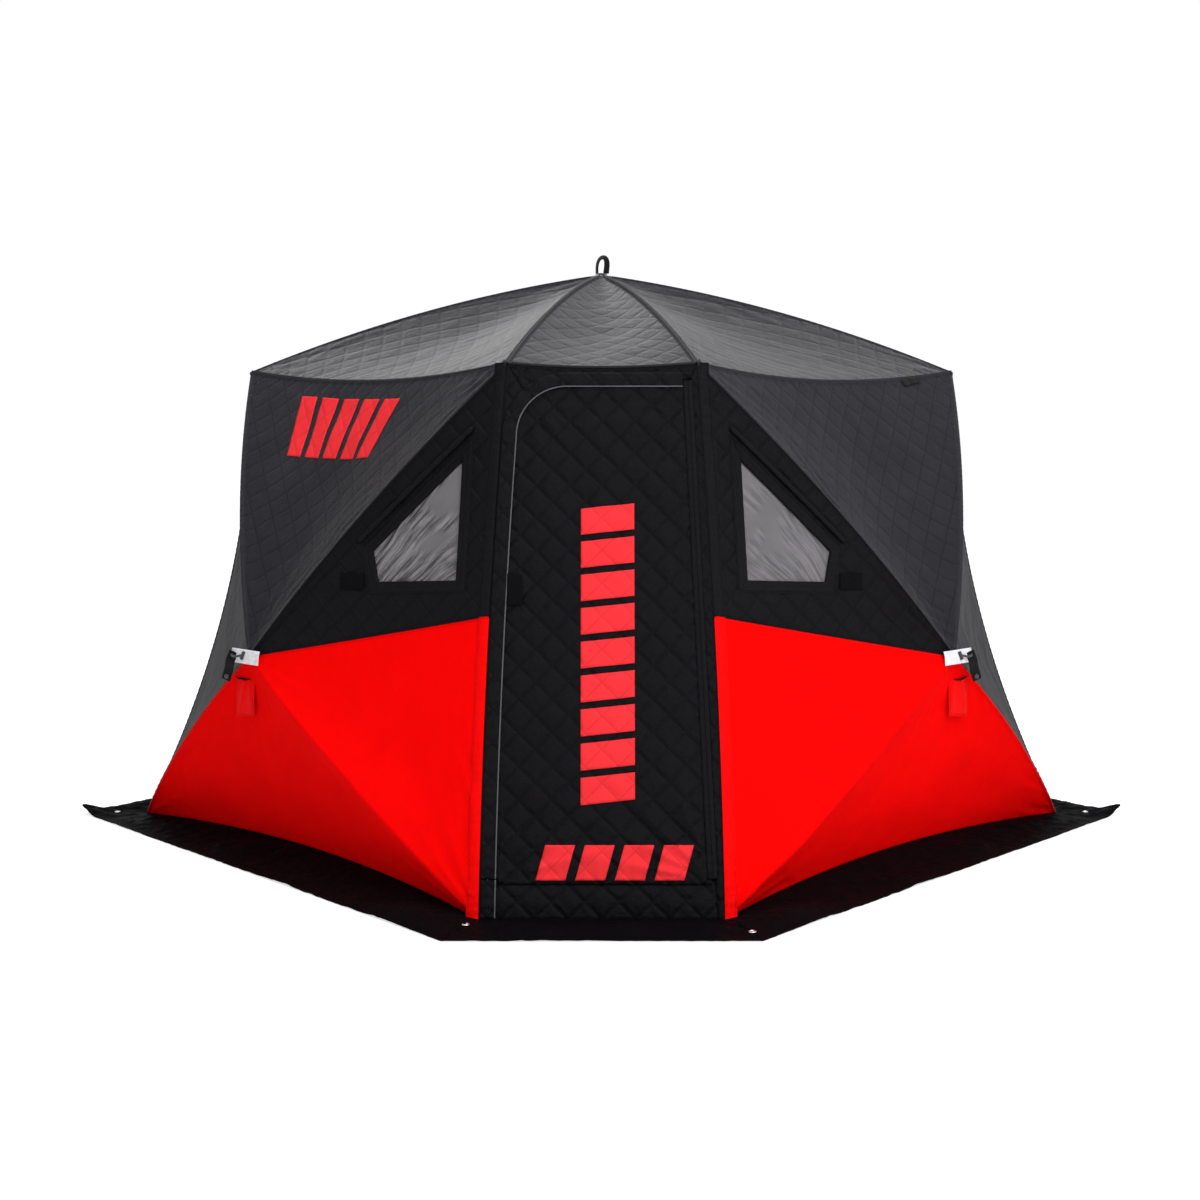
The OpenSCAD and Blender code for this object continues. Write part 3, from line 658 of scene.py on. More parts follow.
def quiltedPanel(name, surface, material, nodes, seed, body="shelter", signs=(1, 1), knots=(0, 1), last=1.0,
                 look=None, pulls=(), pinches=(), opening=None, step=None, flatIn=None):
    # a panel of padded cloth with two sides and a rim
    look = {**panelLook, **(look or {})}
    points, faces = rowsMesh(surface, knots, last, step or fabric["step"])
    middle = points.mean(axis=0)
    if faceNormals(points, faces).sum(axis=0) @ (middle - inMiddle) < 0:
        faces = faces[:, ::-1]
    panel = dict(flatIn or flatFrame(points, faces))
    fitSurface(panel, points)
    if opening is not None:
        panel["opening"] = opening(panel)
        outline = np.array([onPanel(panel, corner, cloth=False) for corner in panel["opening"]])
        points, faces = cutOpening(points, faces, outline, panel["out"])
    normals = pointNormals(points, faces)
    u, v = toFlat(panel, points)
    loops = borderLoops(faces)
    edges = []
    for loop in loops:
        at = 0.0
        line = np.stack([u[loop], v[loop]], axis=1)[::2]        # every second point is close enough
        for a, b in edgesOf(line):
            edges.append((a, b, at))
            at += float(np.linalg.norm(b - a))
    panel.update(edges=edges, look=look, seed=seed, pinches=pinches, pulls=pulls)
    total, puff = clothHeight(panel, u, v)
    away, _ = nearBorder(panel, u, v)
    thick = look["rimThickness"] + (look["thickness"] - look["rimThickness"]) * smooth(away, 0, look["rimIn"])
    outer = points + normals * (total + puff)[:, None]
    inner = points + normals * (total - thick - 0.5 * puff)[:, None]
    count = len(points)
    allFaces = [tuple(f) for f in faces]
    inside = [(int(f[2]) + count, int(f[1]) + count, int(f[0]) + count) for f in faces]
    rims = []
    for loop in loops:
        for a, b in zip(loop, loop[1:] + loop[:1]):
            rims.append((b, a, a + count, b + count))
    flat = np.stack([u, v], axis=1)
    where, allFaces = placed(np.vstack([outer, inner]), allFaces + rims + inside, signs)
    piece = meshObject(name, where, allFaces, np.vstack([flat, flat]), material,
                       second=("lining", len(faces) + len(rims)))
    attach(piece, body)
    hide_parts(*nodes)
    area = float(np.linalg.norm(faceNormals(points, faces), axis=1).sum() / 2)
    size = (float(np.ptp(u)), float(np.ptp(v)))
    return panel


# each is a mirror image of the front right quarter, the front end or the right side
quarters = {"front_right": (1, 1), "front_left": (-1, 1), "back_right": (1, -1), "back_left": (-1, -1)}
ends = {"front": (1, 1), "back": (1, -1)}
sides = {"right": (1, 1), "left": (-1, 1)}


def hubLast(rim, apex):
    return 1 - fabric["hubHole"] / np.linalg.norm(apex - rim)


window = {
    "sideMargin": 0.131, "topMargin": 0.140, "rodMargin": 0.062, "footMargin": 0.112, "reach": 0.438,
    "lean": math.radians(12), "border": 0.030, "borderStep": 0.009,
    "rollAside": 0.050, "rollLift": 0.0070, "rollRadius": 0.0105,
    "filmUnder": 0.010, "filmSink": 0.0080, "filmThick": 0.0012, "filmFold": 0.0022, "filmGrid": 56,
    "creasing": {"left": 1.0, "right": 0.40}, "creasedByHub": (0.45, 0.85), "creasedByFoot": (0.18, 0.45),
    "borderProfile": [          # distance outward from the opening, and lift over the cloth
        (-0.005, -0.0070), (-0.006, -0.0020), (-0.003, 0.0016), (0.003, 0.0028), (0.010, 0.0024),
        (0.013, 0.0010), (0.016, 0.0024), (0.027, 0.0024), (0.030, 0.0010), (0.033, 0.0020),
        (0.036, -0.0012), (0.030, -0.0050)],
}


def meet(first, other):
    # where two lines cross, each given as a point and a direction
    (a, r), (b, q) = first, other
    return a + r * ((b - a)[0] * q[1] - (b - a)[1] * q[0]) / (r[0] * q[1] - r[1] * q[0])


def windowCorners(panel):
    # the opening's corners: at the top, at the foot by the door, at the foot by the hub, and over that
    top, foot, hub = (np.array(toFlat(panel, p)) for p in (eaveEnd, splitPoint, hubAt))
    down = unit(foot - top)
    inward = np.array([-down[1], down[0]])
    inward = inward if (hub - top) @ inward > 0 else -inward
    toHub = unit(hub - top)
    under = unit(down - (down @ toHub) * toHub)
    seamLine = (top + window["sideMargin"] * inward, down)
    footAt = foot - window["footMargin"] * down
    footLine = (footAt, inward)
    rodTop = top + window["topMargin"] * under
    rodLine = (rodTop, unit(hub + window["rodMargin"] * under - rodTop))
    footEnd = footAt + window["reach"] * inward
    hubLine = (footEnd, -math.cos(window["lean"]) * down + math.sin(window["lean"]) * inward)
    return [meet(rodLine, seamLine), meet(seamLine, footLine), footEnd, meet(hubLine, rodLine)]


# hole: the corner and the apex between which the panel stops short of the hub or the peak
# pulls: creases along a line, as from, to, height and reach
# pinches: creases out of a point, as place, number, height and reach
hubPinch = (hubAt, 26, 0.0040, 0.20)
quarterPanels = {
    "top": {
        "surface": topSurface, "material": "charcoal_quilt", "node": "top_panel_", "hole": (eaveEnd, hubAt),
        "look": {"puff": 0.0007},
        "pulls": [(eaveEnd, hubAt, 0.0060, 0.085), (eaveSide, hubAt, 0.0040, 0.060)],
        "pinches": [hubPinch, (eaveEnd, 22, 0.0035, 0.22), (eaveSide, 20, 0.0045, 0.22)]},
    "side": {
        "surface": sideSurface, "material": "charcoal_quilt", "node": "side_panel_",
        "hole": (eaveSide, hubAt), "look": {"puff": 0.0008},
        "pulls": [(eaveSide, hubAt, 0.0045, 0.070), (baseSide, hubAt, 0.0040, 0.070)],
        "pinches": [hubPinch, (eaveSide, 20, 0.0045, 0.20), (baseSide, 20, 0.0045, 0.22)]},
    "window": {
        "surface": windowSurface, "material": "black_quilt", "node": "window_panel_",
        "hole": (eaveEnd, hubAt), "look": {"puff": 0.0032},
        "pulls": [(eaveEnd, hubAt, 0.0056, 0.07), (eaveEnd, splitPoint, 0.0044, 0.05)],
        "pinches": [hubPinch, (eaveEnd, 20, 0.0030, 0.15)], "opening": windowCorners},
    "lower": {
        "surface": lowerSurface, "material": "red_quilt", "node": "lower_panel_", "hole": (baseEnd, hubAt),
        "look": {"puff": 0.0002, "slack": 0.004, "crease": 0.0022}, "knots": (0, lowerTurn, 1),
        "pulls": [(splitPoint, baseEnd, 0.0040, 0.055), (baseSide, hubAt, 0.0030, 0.05),
                  (baseSide, baseEnd, 0.0035, 0.05)],
        "pinches": [hubPinch, (baseEnd, 22, 0.0045, 0.24), (baseSide, 22, 0.0045, 0.24)]},
    "roof": {
        "surface": roofSideSurface, "material": "roof_quilt_painted_sheen", "node": "roof_", "hole": (eaveEnd, peak),
        "look": {"puff": 0.0014}, "pulls": [(eaveSide, peak, 0.0035, 0.05), (eaveEnd, peak, 0.0030, 0.05)],
        "pinches": [(peak, 20, 0.0030, 0.20), (eaveSide, 20, 0.0040, 0.20), (eaveEnd, 18, 0.0030, 0.18)]},
}
panels = {}
for index, (quarter, signs) in enumerate(quarters.items()):
    for part, (kind, made) in enumerate(quarterPanels.items()):
        panels[kind + "_" + quarter] = quiltedPanel(
            kind + "_cloth_" + quarter, made["surface"], made["material"], [made["node"] + quarter],
            seed=10 * index + 3 + part, signs=signs, knots=made.get("knots", (0, 1)),
            last=hubLast(*made["hole"]), look=made["look"], pulls=made["pulls"], pinches=made["pinches"],
            opening=made.get("opening"))
for end, signs in ends.items():
    panels["roof_" + end] = quiltedPanel(
        "roof_cloth_" + end, roofEndSurface, "roof_quilt_painted_sheen", ["roof_" + end], seed=61 + signs[1], signs=signs,
        last=hubLast(eaveEnd, peak), look={"puff": 0.0014}, pinches=[(peak, 20, 0.0025, 0.18)])

# door and the end walls
print("door and end walls")
door = {
    "latchJamb": 0.026, "hingeJamb": 0.034, "header": 0.042, "sill": 0.120, "cornerRadius": 0.185,
    "gap": 0.0075, "rolledHem": 0.011, "lapBelow": 0.014, "sillLap": 0.005, "sillSink": (0.0045, 0.0015),
    "flapOuter": -0.022, "flapInner": 0.024, "flapLift": 0.0055, "flapThick": 0.003, "flapStep": 0.007,
    "flapPuff": 0.0018, "flapCrown": 0.0016, "piping": 0.0022, "zipRadius": 0.003, "billow": 0.010,
}
endFrame = {"origin": onEnd(0, 0), "right": vec(1, 0, 0), "up": slopeUp, "out": endOut}
endLook = {"puff": 0.0040, "slack": 0.0015, "crease": 0.0040, "pucker": 0.0024, "puckerStep": 0.040,
           "puckerReach": 0.045}
doorTop = slopeLength - fabric["endEaveDip"] - door["header"]
cornerV = doorTop - door["cornerRadius"]
cornerU = -endHalfWidth(cornerV)[0] + door["latchJamb"] + door["cornerRadius"]


def hingeU(v):
    return baseEnd[0] + (eaveEnd[0] - baseEnd[0]) * np.asarray(v, float) / slopeLength - door["hingeJamb"]


def cornerPoint(angle):
    # on the door's round corner: angle 0 at the latch edge, a right angle at the top edge
    r = door["cornerRadius"]
    return cornerU - r * np.cos(angle), cornerV + r * np.sin(angle)


def latchEdge(v, aside=0.0):
    return -endHalfWidth(v) + door["latchJamb"] + aside


def latchSide(v):
    angle = math.pi / 4 * np.clip((v - cornerV) / (slopeLength - cornerV), 0, 1)
    u, w = cornerPoint(angle)
    return np.where(v < cornerV, latchEdge(v), u), np.where(v < cornerV, v, w)


def latchJambSurface(q, s):
    v = np.array([s * slopeLength])
    u, w = latchSide(v)
    return mid(endSeam(1 - v / slopeLength) * flipX, onEnd(u, w), q)


def headerSurface(q, s):
    rim = endEave(q)
    left, right = -eaveEnd[0], eaveEnd[0]
    hinge = float(hingeU(doorTop)) + door["rolledHem"]
    angle = math.pi / 4 * (1 + np.clip((rim[:, 0] - left) / (cornerU - left), 0, 1))
    u, v = cornerPoint(angle)
    straight = cornerU + (hinge - cornerU) * (rim[:, 0] - cornerU) / (right - cornerU)
    before = rim[:, 0] < cornerU
    return mid(rim, onEnd(np.where(before, u, straight), np.where(before, v, doorTop)), s)


def hingeJambSurface(q, s):
    v = np.array([s * doorTop])
    return mid(onEnd(hingeU(v) + door["rolledHem"], v), endSeam(1 - s * np.ones(1)), q)


def sillSurface(q, s):
    v = np.array([s * (door["sill"] + 0.004)])
    sink = door["sillSink"][0] * smooth(v, door["sill"] - 0.05, door["sill"])
    right = hingeU(v) + door["rolledHem"] + door["sillLap"]          # laps under the hinge jamb
    return mid(onEnd(latchEdge(v), v, -sink), onEnd(right, v, -sink - door["sillSink"][1]), q)


def doorSurface(q, s):
    bottom = door["sill"] - door["lapBelow"]
    v = bottom + s * (doorTop - door["gap"] - bottom)
    if v < cornerV:
        left = float(latchEdge(v, door["gap"])[0])
    else:
        r = door["cornerRadius"] - door["gap"]
        left = cornerU - math.sqrt(max(0.0, r * r - (v - cornerV) ** 2))
    right = float(hingeU(v)) - 0.001
    out = door["billow"] * arch(q) * math.sqrt(arch(min(max(s, 0.0), 1.0)))
    return onEnd(left + (right - left) * q, v, out)


surroundings = [("latch_jamb_cloth", latchJambSurface, "door_latch_jamb", 71),
                ("header_cloth", headerSurface, "door_header", 72),
                ("hinge_jamb_cloth", hingeJambSurface, "door_hinge_jamb", 73),
                ("sill_cloth", sillSurface, "door_sill", 74)]
for name, surface, node, seed in surroundings:
    panels[name] = quiltedPanel(name, surface, "black_quilt", [node], seed=seed, flatIn=endFrame,
                                look={**endLook, "crease": 0.001})
doorPinches = [(cornerPoint(math.pi / 4), 16, 0.0045, 0.16), ((hingeU(doorTop), doorTop), 16, 0.0050, 0.20),
               ((hingeU(0.12), 0.12), 18, 0.0090, 0.22), ((latchEdge(0.12)[0], 0.12), 18, 0.0090, 0.22)]
panels["door"] = quiltedPanel(
    "door_cloth", doorSurface, "black_quilt", ["door_flap"], body="door", seed=77, look=endLook,
    flatIn=endFrame,
    pinches=[(onEnd(*(float(x) for x in place)), *rest) for place, *rest in doorPinches])


def backSurface(q, s):
    p = endSeam(np.array([1 - s]))
    rise = arch(q)[:, None] * s * s * fabric["endEaveDip"] * slopeUp
    return mid(p * flipX, p, q) - rise


panels["back_wall"] = quiltedPanel(
    "back_wall_cloth", backSurface, "black_quilt", ["back_wall"], seed=81, signs=(1, -1), flatIn=endFrame,
    step=0.015, look={**endLook, "slack": 0.004},
    pinches=[(eaveEnd, 16, 0.004, 0.2), (eaveEnd * flipX, 16, 0.004, 0.2),
             (baseEnd, 16, 0.005, 0.2), (baseEnd * flipX, 16, 0.005, 0.2)])


def withInward(u, v):
    # a path on the end wall with the directions towards the door's middle
    run = unit(np.stack([np.gradient(u), np.gradient(v)], axis=1))
    return u, v, np.stack([run[:, 1], -run[:, 0]], axis=1)


def flapPath(step):
    # along the latch edge, round the corner and over the door
    hinge = float(hingeU(doorTop))
    vs = np.linspace(door["sill"] + 0.004, cornerV, round(float(cornerV - door["sill"]) / step))
    angles = np.linspace(0, math.pi / 2, round(door["cornerRadius"] * math.pi / 2 / step))[1:]
    us = np.linspace(cornerU, hinge - 0.014, round((hinge - cornerU) / step))[1:]
    cornerUs, cornerVs = cornerPoint(angles)
    u = np.concatenate([latchEdge(vs), cornerUs, us])
    v = np.concatenate([vs, cornerVs, np.full(us.shape, doorTop)])
    return withInward(u, v)


def flapFootPath():
    # along the latch edge over the sill
    vs = np.linspace(0.004, door["sill"] + 0.001, 18)
    return withInward(latchEdge(vs), vs)


def stormFlap(u, v, inward):
    # a quilted flap along a path, its lengths along it and its offsets from it
    at = np.concatenate([[0], np.cumsum(np.hypot(np.diff(u), np.diff(v)))])
    offsets = np.linspace(door["flapOuter"], door["flapInner"], 9)
    share = np.linspace(0, 1, 9)
    crown = door["flapCrown"] * np.sin(math.pi * share) ** 0.6
    rows = []
    for i in range(len(u)):
        puff = door["flapPuff"] * quiltSquares(at[i], offsets) ** panelLook["puffPower"]
        wave = 0.0012 * np.sin(at[i] * 150 + 2 * np.sin(at[i] * 23)) * np.sin(math.pi * share)
        rows.append(onEnd(u[i] + offsets * inward[i, 0], v[i] + offsets * inward[i, 1],
                          door["flapLift"] + crown + puff + wave))
    return np.array(rows), at, offsets


def gridFaces(rows, columns, wrap=False):
    faces = []
    for i in range(rows - 1):
        for j in range(columns if wrap else columns - 1):
            k = (j + 1) % columns
            faces.append((i * columns + j, i * columns + k, (i + 1) * columns + k, (i + 1) * columns + j))
    return faces


def ringFaces(rows, columns):
    # a ring whose profile closes on itself
    last = (rows - 1) * columns
    closing = [(last + j, last + (j + 1) % columns, (j + 1) % columns, j) for j in range(columns)]
    return gridFaces(rows, columns, wrap=True) + closing


def closedSheet(grid, normal, thickness, gone=()):
    # a sheet with two sides and a rim, from a grid of its outer points
    rows, columns = grid.shape[:2]
    outer = grid.reshape(-1, 3)
    inner = outer - normal * thickness
    count = len(outer)
    faces = [f for f in gridFaces(rows, columns) if not any(i in gone for i in f)]
    a, b, c = outer[list(faces[0][:3])]
    if np.cross(b - a, c - b) @ (normal if np.ndim(normal) == 1 else normal[0]) < 0:
        faces = [tuple(reversed(f)) for f in faces]
    inside = [tuple(i + count for i in reversed(f)) for f in faces]
    edges = {(f[i], f[(i + 1) % 4]) for f in faces for i in range(4)}
    rims = [(b, a, a + count, b + count) for a, b in sorted(edges) if (b, a) not in edges]
    return np.vstack([outer, inner]), faces + inside + rims


# a part of a joined piece: its points, its faces, its flat map or None, and the index of its material
def sheetPart(grid, normal, thickness, flat, gone=()):
    return (*closedSheet(grid, normal, thickness, gone), np.vstack([flat, flat]), 0)


def placedPart(part, signs):
    # the part in another quarter
    return (*placed(part[0], part[1], signs), *part[2:])


def tube(path, radius, sides, up, flat=1.0, mark=0):
    # a round or flattened tube along a path, closed at both ends
    path = np.asarray(path, float)
    radius = np.broadcast_to(radius, len(path))
    along = unit(np.gradient(path, axis=0))
    side = unit(np.cross(along, up))
    over = np.cross(side, along)
    angles = 2 * math.pi * np.arange(sides) / sides
    rings = (path[:, None] + radius[:, None, None] * (np.cos(angles)[None, :, None] * side[:, None]
             + flat * np.sin(angles)[None, :, None] * over[:, None]))
    count = len(path) * sides
    points = np.vstack([rings.reshape(-1, 3), path[:1], path[-1:]])
    faces = [tuple(reversed(f)) for f in gridFaces(len(path), sides, wrap=True)]
    for j in range(sides):
        k = (j + 1) % sides
        faces.append((count, j, k))
        faces.append((count + 1, count - sides + k, count - sides + j))
    return points, outward(points, faces), None, mark


def outward(points, faces):
    # turns the faces of a closed shape outward
    volume = 0.0
    for f in faces:
        for i in range(1, len(f) - 1):
            volume += points[f[0]] @ np.cross(points[f[i]], points[f[i + 1]])
    return [tuple(reversed(f)) for f in faces] if volume < 0 else faces


def joinedPiece(name, parts, materialNames, body="shelter", signs=(1, 1), nodes=()):
    allPoints, allFaces, allFlat, marks = [], [], [], []
    start = 0
    for points, faces, flat, mark in parts:
        allPoints.append(points)
        allFaces += [tuple(i + start for i in f) for f in faces]
        allFlat.append(points[:, [0, 2]] if flat is None else flat)
        marks += list(mark) if np.ndim(mark) else [mark] * len(faces)
        start += len(points)
    points, faces = placed(np.vstack(allPoints), allFaces, signs)
    piece = meshObject(name, points, faces, np.vstack(allFlat))
    for material in materialNames:
        piece.data.materials.append(materials[material])
    piece.data.polygons.foreach_set("material_index", marks)
    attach(piece, body)
    if nodes:
        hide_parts(*nodes)
    return piece


flapGrid, flapAt, flapOffsets = stormFlap(*flapPath(door["flapStep"]))
flapCloth = joinedPiece("storm_flap_cloth", [sheetPart(flapGrid, endOut, door["flapThick"],
                                                       flatGrid(flapAt, flapOffsets))],
                        ["flap_cloth"], "door", nodes=["storm_flap"])
footGrid, footAt, _ = stormFlap(*flapFootPath())
footPipe = tube(footGrid[:, -1] + 0.0005 * endOut, door["piping"], 6, up=endOut, mark=1)
flapFoot = joinedPiece("flap_foot_cloth", [sheetPart(footGrid, endOut, door["flapThick"],
                                                     flatGrid(footAt, flapOffsets)), footPipe],
                       ["flap_cloth", "piping"])
pipe = tube(flapGrid[:, -1] + 0.0005 * endOut, door["piping"], 6, up=endOut)
zipU, zipV, zipInward = flapPath(0.02)
zipAside = door["gap"] * 0.75 * zipInward
zipTeeth = tube(onEnd(zipU + zipAside[:, 0], zipV + zipAside[:, 1], 0.001), door["zipRadius"], 6, up=endOut,
                mark=1)
joinedPiece("storm_flap_piping", [pipe, zipTeeth], ["piping", "black_plastic"], "door")


hingeLook = {
    "aside": (-0.016, -0.013, -0.009, -0.004, 0.001, 0.006, 0.011, 0.015, 0.018),
    "lift": (-0.0005, 0.0026, 0.0030, 0.0032, 0.0034, 0.0034, 0.0032, 0.0026, -0.0005),
    "standOff": 0.0015, "pucker": 0.0010, "points": 220, "thickness": 0.0012,
}


def hingeStrip():
    # sewn cloth over the hinge
    vs = np.linspace(door["sill"] + 0.004, doorTop - 0.004, hingeLook["points"])
    aside, lift = np.array(hingeLook["aside"]), np.array(hingeLook["lift"])
    wave = hingeLook["pucker"] * np.sin(vs * 260 + 3 * np.sin(vs * 21))[:, None]
    wave = wave * np.sin(np.linspace(0, math.pi, len(aside)))
    grid = onEnd(hingeU(vs)[:, None] + aside, vs[:, None] * np.ones(len(aside)),
                 lift + wave + hingeLook["standOff"])
    return grid, flatGrid(vs, aside)


stripGrid, stripFlat = hingeStrip()
stripPart = sheetPart(stripGrid, endOut, hingeLook["thickness"], stripFlat)
hingeCloth = meshObject("hinge_cloth", *stripPart[:3], "black_band")
float(np.ptp(stripFlat[:, 0]))
hingeRun = unit(vec(float(hingeU(1) - hingeU(0)), 0, 0) + slopeUp)
hingeAside = unit(np.cross(endOut, hingeRun))
hingeAside = hingeAside if hingeAside[0] > 0 else -hingeAside
hingeFoot = onEnd(float(hingeU(0)), 0.0)
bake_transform(hingeCloth)

# plain red bars printed on the door and on one wall
prints = {
    "doorBar": {"left": -0.066, "right": 0.103, "low": 0.350, "high": 1.285, "count": 9, "gap": 0.022,
                "slant": 0.018},
    "footBar": {"left": -0.205, "right": 0.255, "low": 0.120, "high": 0.228, "count": 4, "gap": 0.030,
                "slant": 0.030},
    "wallBar": {"corners": [(0.31, 0.04), (-0.20, 0.05), (-0.24, 0.28), (0.40, 0.29)], "count": 5,
                "filled": 0.74},
    "lift": 0.0019, "step": 0.006, "doorLift": 0.0034, "doorStep": 0.008, "thickness": 0.0008,
}


def fourCornered(corners, wide, tall):
    # a grid between four corners, and how far along and up each of its points is
    s, t = np.meshgrid(np.linspace(0, 1, wide + 1), np.linspace(0, 1, tall + 1))
    a, b = s[..., None], t[..., None]
    foot, head = corners[0] * (1 - a) + corners[1] * a, corners[3] * (1 - a) + corners[2] * a
    return foot * (1 - b) + head * b, s, t


def printPatch(panel, corners, lift=prints["lift"], step=prints["step"]):
    # a thin patch over the cloth, between four corners on the panel's flat map
    corners = np.array(corners, float)
    wide = max(2, round(np.linalg.norm(corners[1] - corners[0]) / step))
    tall = max(2, round(np.linalg.norm(corners[3] - corners[0]) / step))
    flat = fourCornered(corners, wide, tall)[0]
    grid = onPanel(panel, flat, lift)
    return sheetPart(grid, panel["out"], prints["thickness"], flat.reshape(-1, 2))


def doorPrints():
    bar, foot = prints["doorBar"], prints["footBar"]
    parts = []
    pitch = (bar["high"] - bar["low"] + bar["gap"]) / bar["count"]
    for i in range(bar["count"]):
        bottom = bar["low"] + i * pitch
        top = bottom + pitch - bar["gap"]
        parts.append([(bar["left"], bottom), (bar["right"], bottom + bar["slant"]),
                      (bar["right"], top + bar["slant"]), (bar["left"], top)])
    wide = (foot["right"] - foot["left"] + foot["gap"]) / foot["count"]
    for i in range(foot["count"]):
        left = foot["left"] + i * wide
        right = left + wide - foot["gap"]
        parts.append([(left, foot["low"]), (right, foot["low"]), (right + foot["slant"], foot["high"]),
                      (left + foot["slant"], foot["high"])])
    return [printPatch(panels["door"], corners, prints["doorLift"], prints["doorStep"]) for corners in parts]


def wallPrints():
    bar = prints["wallBar"]
    a, b, c, d = (np.array(p) for p in bar["corners"])
    parts = []
    for i in range(bar["count"]):
        s, t = i / bar["count"], (i + bar["filled"]) / bar["count"]
        corners = [a + (b - a) * s, a + (b - a) * t, d + (c - d) * t, d + (c - d) * s]
        parts.append(printPatch(panels["top_front_left"], corners))
    return parts


joinedPiece("door_print", doorPrints(), ["red_print"], "door")
joinedPiece("wall_print", wallPrints(), ["red_print"], signs=quarters["front_left"])

# tabs and pockets sewn on the cloth: how high they stand, and corners on each panel's flat map
sewnOn = {
    "windowTab": (0.0042, [(0.158, -0.146), (0.246, -0.149), (0.248, -0.094), (0.162, -0.090)]),
    "eaveTab": (0.0050, [(0.455, 0.330), (0.560, 0.343), (0.560, 0.368), (0.455, 0.355)]),
    "pocket": (0.0024, [(0.355, 0.160), (0.258, 0.172), (0.200, 0.312), (0.285, 0.312)]),
    "slit": (0.0022, [(0.288, 0.321), (0.262, 0.306), (0.226, 0.311)]),
    "flapTab": (0.0108, [(-0.298, 0.976), (-0.250, 0.976), (-0.250, 1.076), (-0.298, 1.076)]),
    "pocketStitch": 0.006, "slitRadius": 0.0030,
}


def sewnPatch(panel, name):
    lift, corners = sewnOn[name]
    return printPatch(panel, corners, lift)


def pocketPart(panel):
    # a stitched patch with its row of stitches along its edge, and the slit over it
    points, faces, flat, mark = sewnPatch(panel, "pocket")
    corners = np.array(sewnOn["pocket"][1])
    edges = [(a, b, 0.0) for a, b in edgesOf(corners)]
    toEdge, _ = nearBorder({"edges": edges}, flat[:, 0], flat[:, 1])
    flat = np.stack([flat[:, 0] + flat[:, 1], toEdge - sewnOn["pocketStitch"]], axis=1)
    lift, curve = sewnOn["slit"]
    a, b, c = (np.array(p) for p in curve)
    s = np.linspace(0, 1, 20)[:, None]
    line = a * (1 - s) ** 2 + 2 * b * s * (1 - s) + c * s ** 2
    radius = sewnOn["slitRadius"] * np.sqrt(arch(s[:, 0]) + 0.04)
    return [(points, faces, flat, mark), tube(onPanel(panel, line, lift), radius, 8, up=panel["out"], mark=1)]


for quarter, signs in quarters.items():
    joinedPiece("hub_pocket_" + quarter, pocketPart(panels["lower_" + quarter]), ["red_band", "hook_tape"],
                signs=signs)
    joinedPiece("window_tab_" + quarter, [sewnPatch(panels["window_" + quarter], "windowTab")],
                ["hook_tape"], signs=signs)
joinedPiece("eave_tab", [sewnPatch(panels["top_front_right"], "eaveTab")], ["black_webbing"])
tabLift, tabCorners = sewnOn["flapTab"]
tabFlat = fourCornered(np.array(tabCorners), 8, 14)[0]
tabPoints, tabFaces = closedSheet(onEnd(tabFlat[..., 0], tabFlat[..., 1], tabLift), endOut, 0.0012)
joinedPiece("flap_tab", [(tabPoints, tabFaces, None, 0)], ["hook_tape"], "door")

# seams
print("seams")
bandLook = {"lift": 0.0026, "pucker": 0.0011, "puckerStep": 0.024, "spacing": 0.0085, "stitchIn": 0.004,
            "hubGap": 0.035, "under": 0.003, "roofEnd": 0.97}


def rimLine(surface, last=1.0):
    # the rim of a panel with the directions into it
    q = np.linspace(0, last, 60)
    count = max(8, round(lengthOf(surface(q, 0.0)) / bandLook["spacing"]))
    q = np.linspace(0, last, count + 1)
    return surface(q, 0.0), surface(q, 0.02) - surface(q, 0.0)


def sideLine(surface, q, s):
    # the side of a panel at q, from its rim towards the hub, with the directions into it
    step = 0.03
    at = np.array([q])
    inside = np.array([q + (step if q < 0.5 else -step)])
    line = np.vstack([surface(at, x) for x in s])
    return line, np.vstack([surface(inside, x) for x in s]) - line


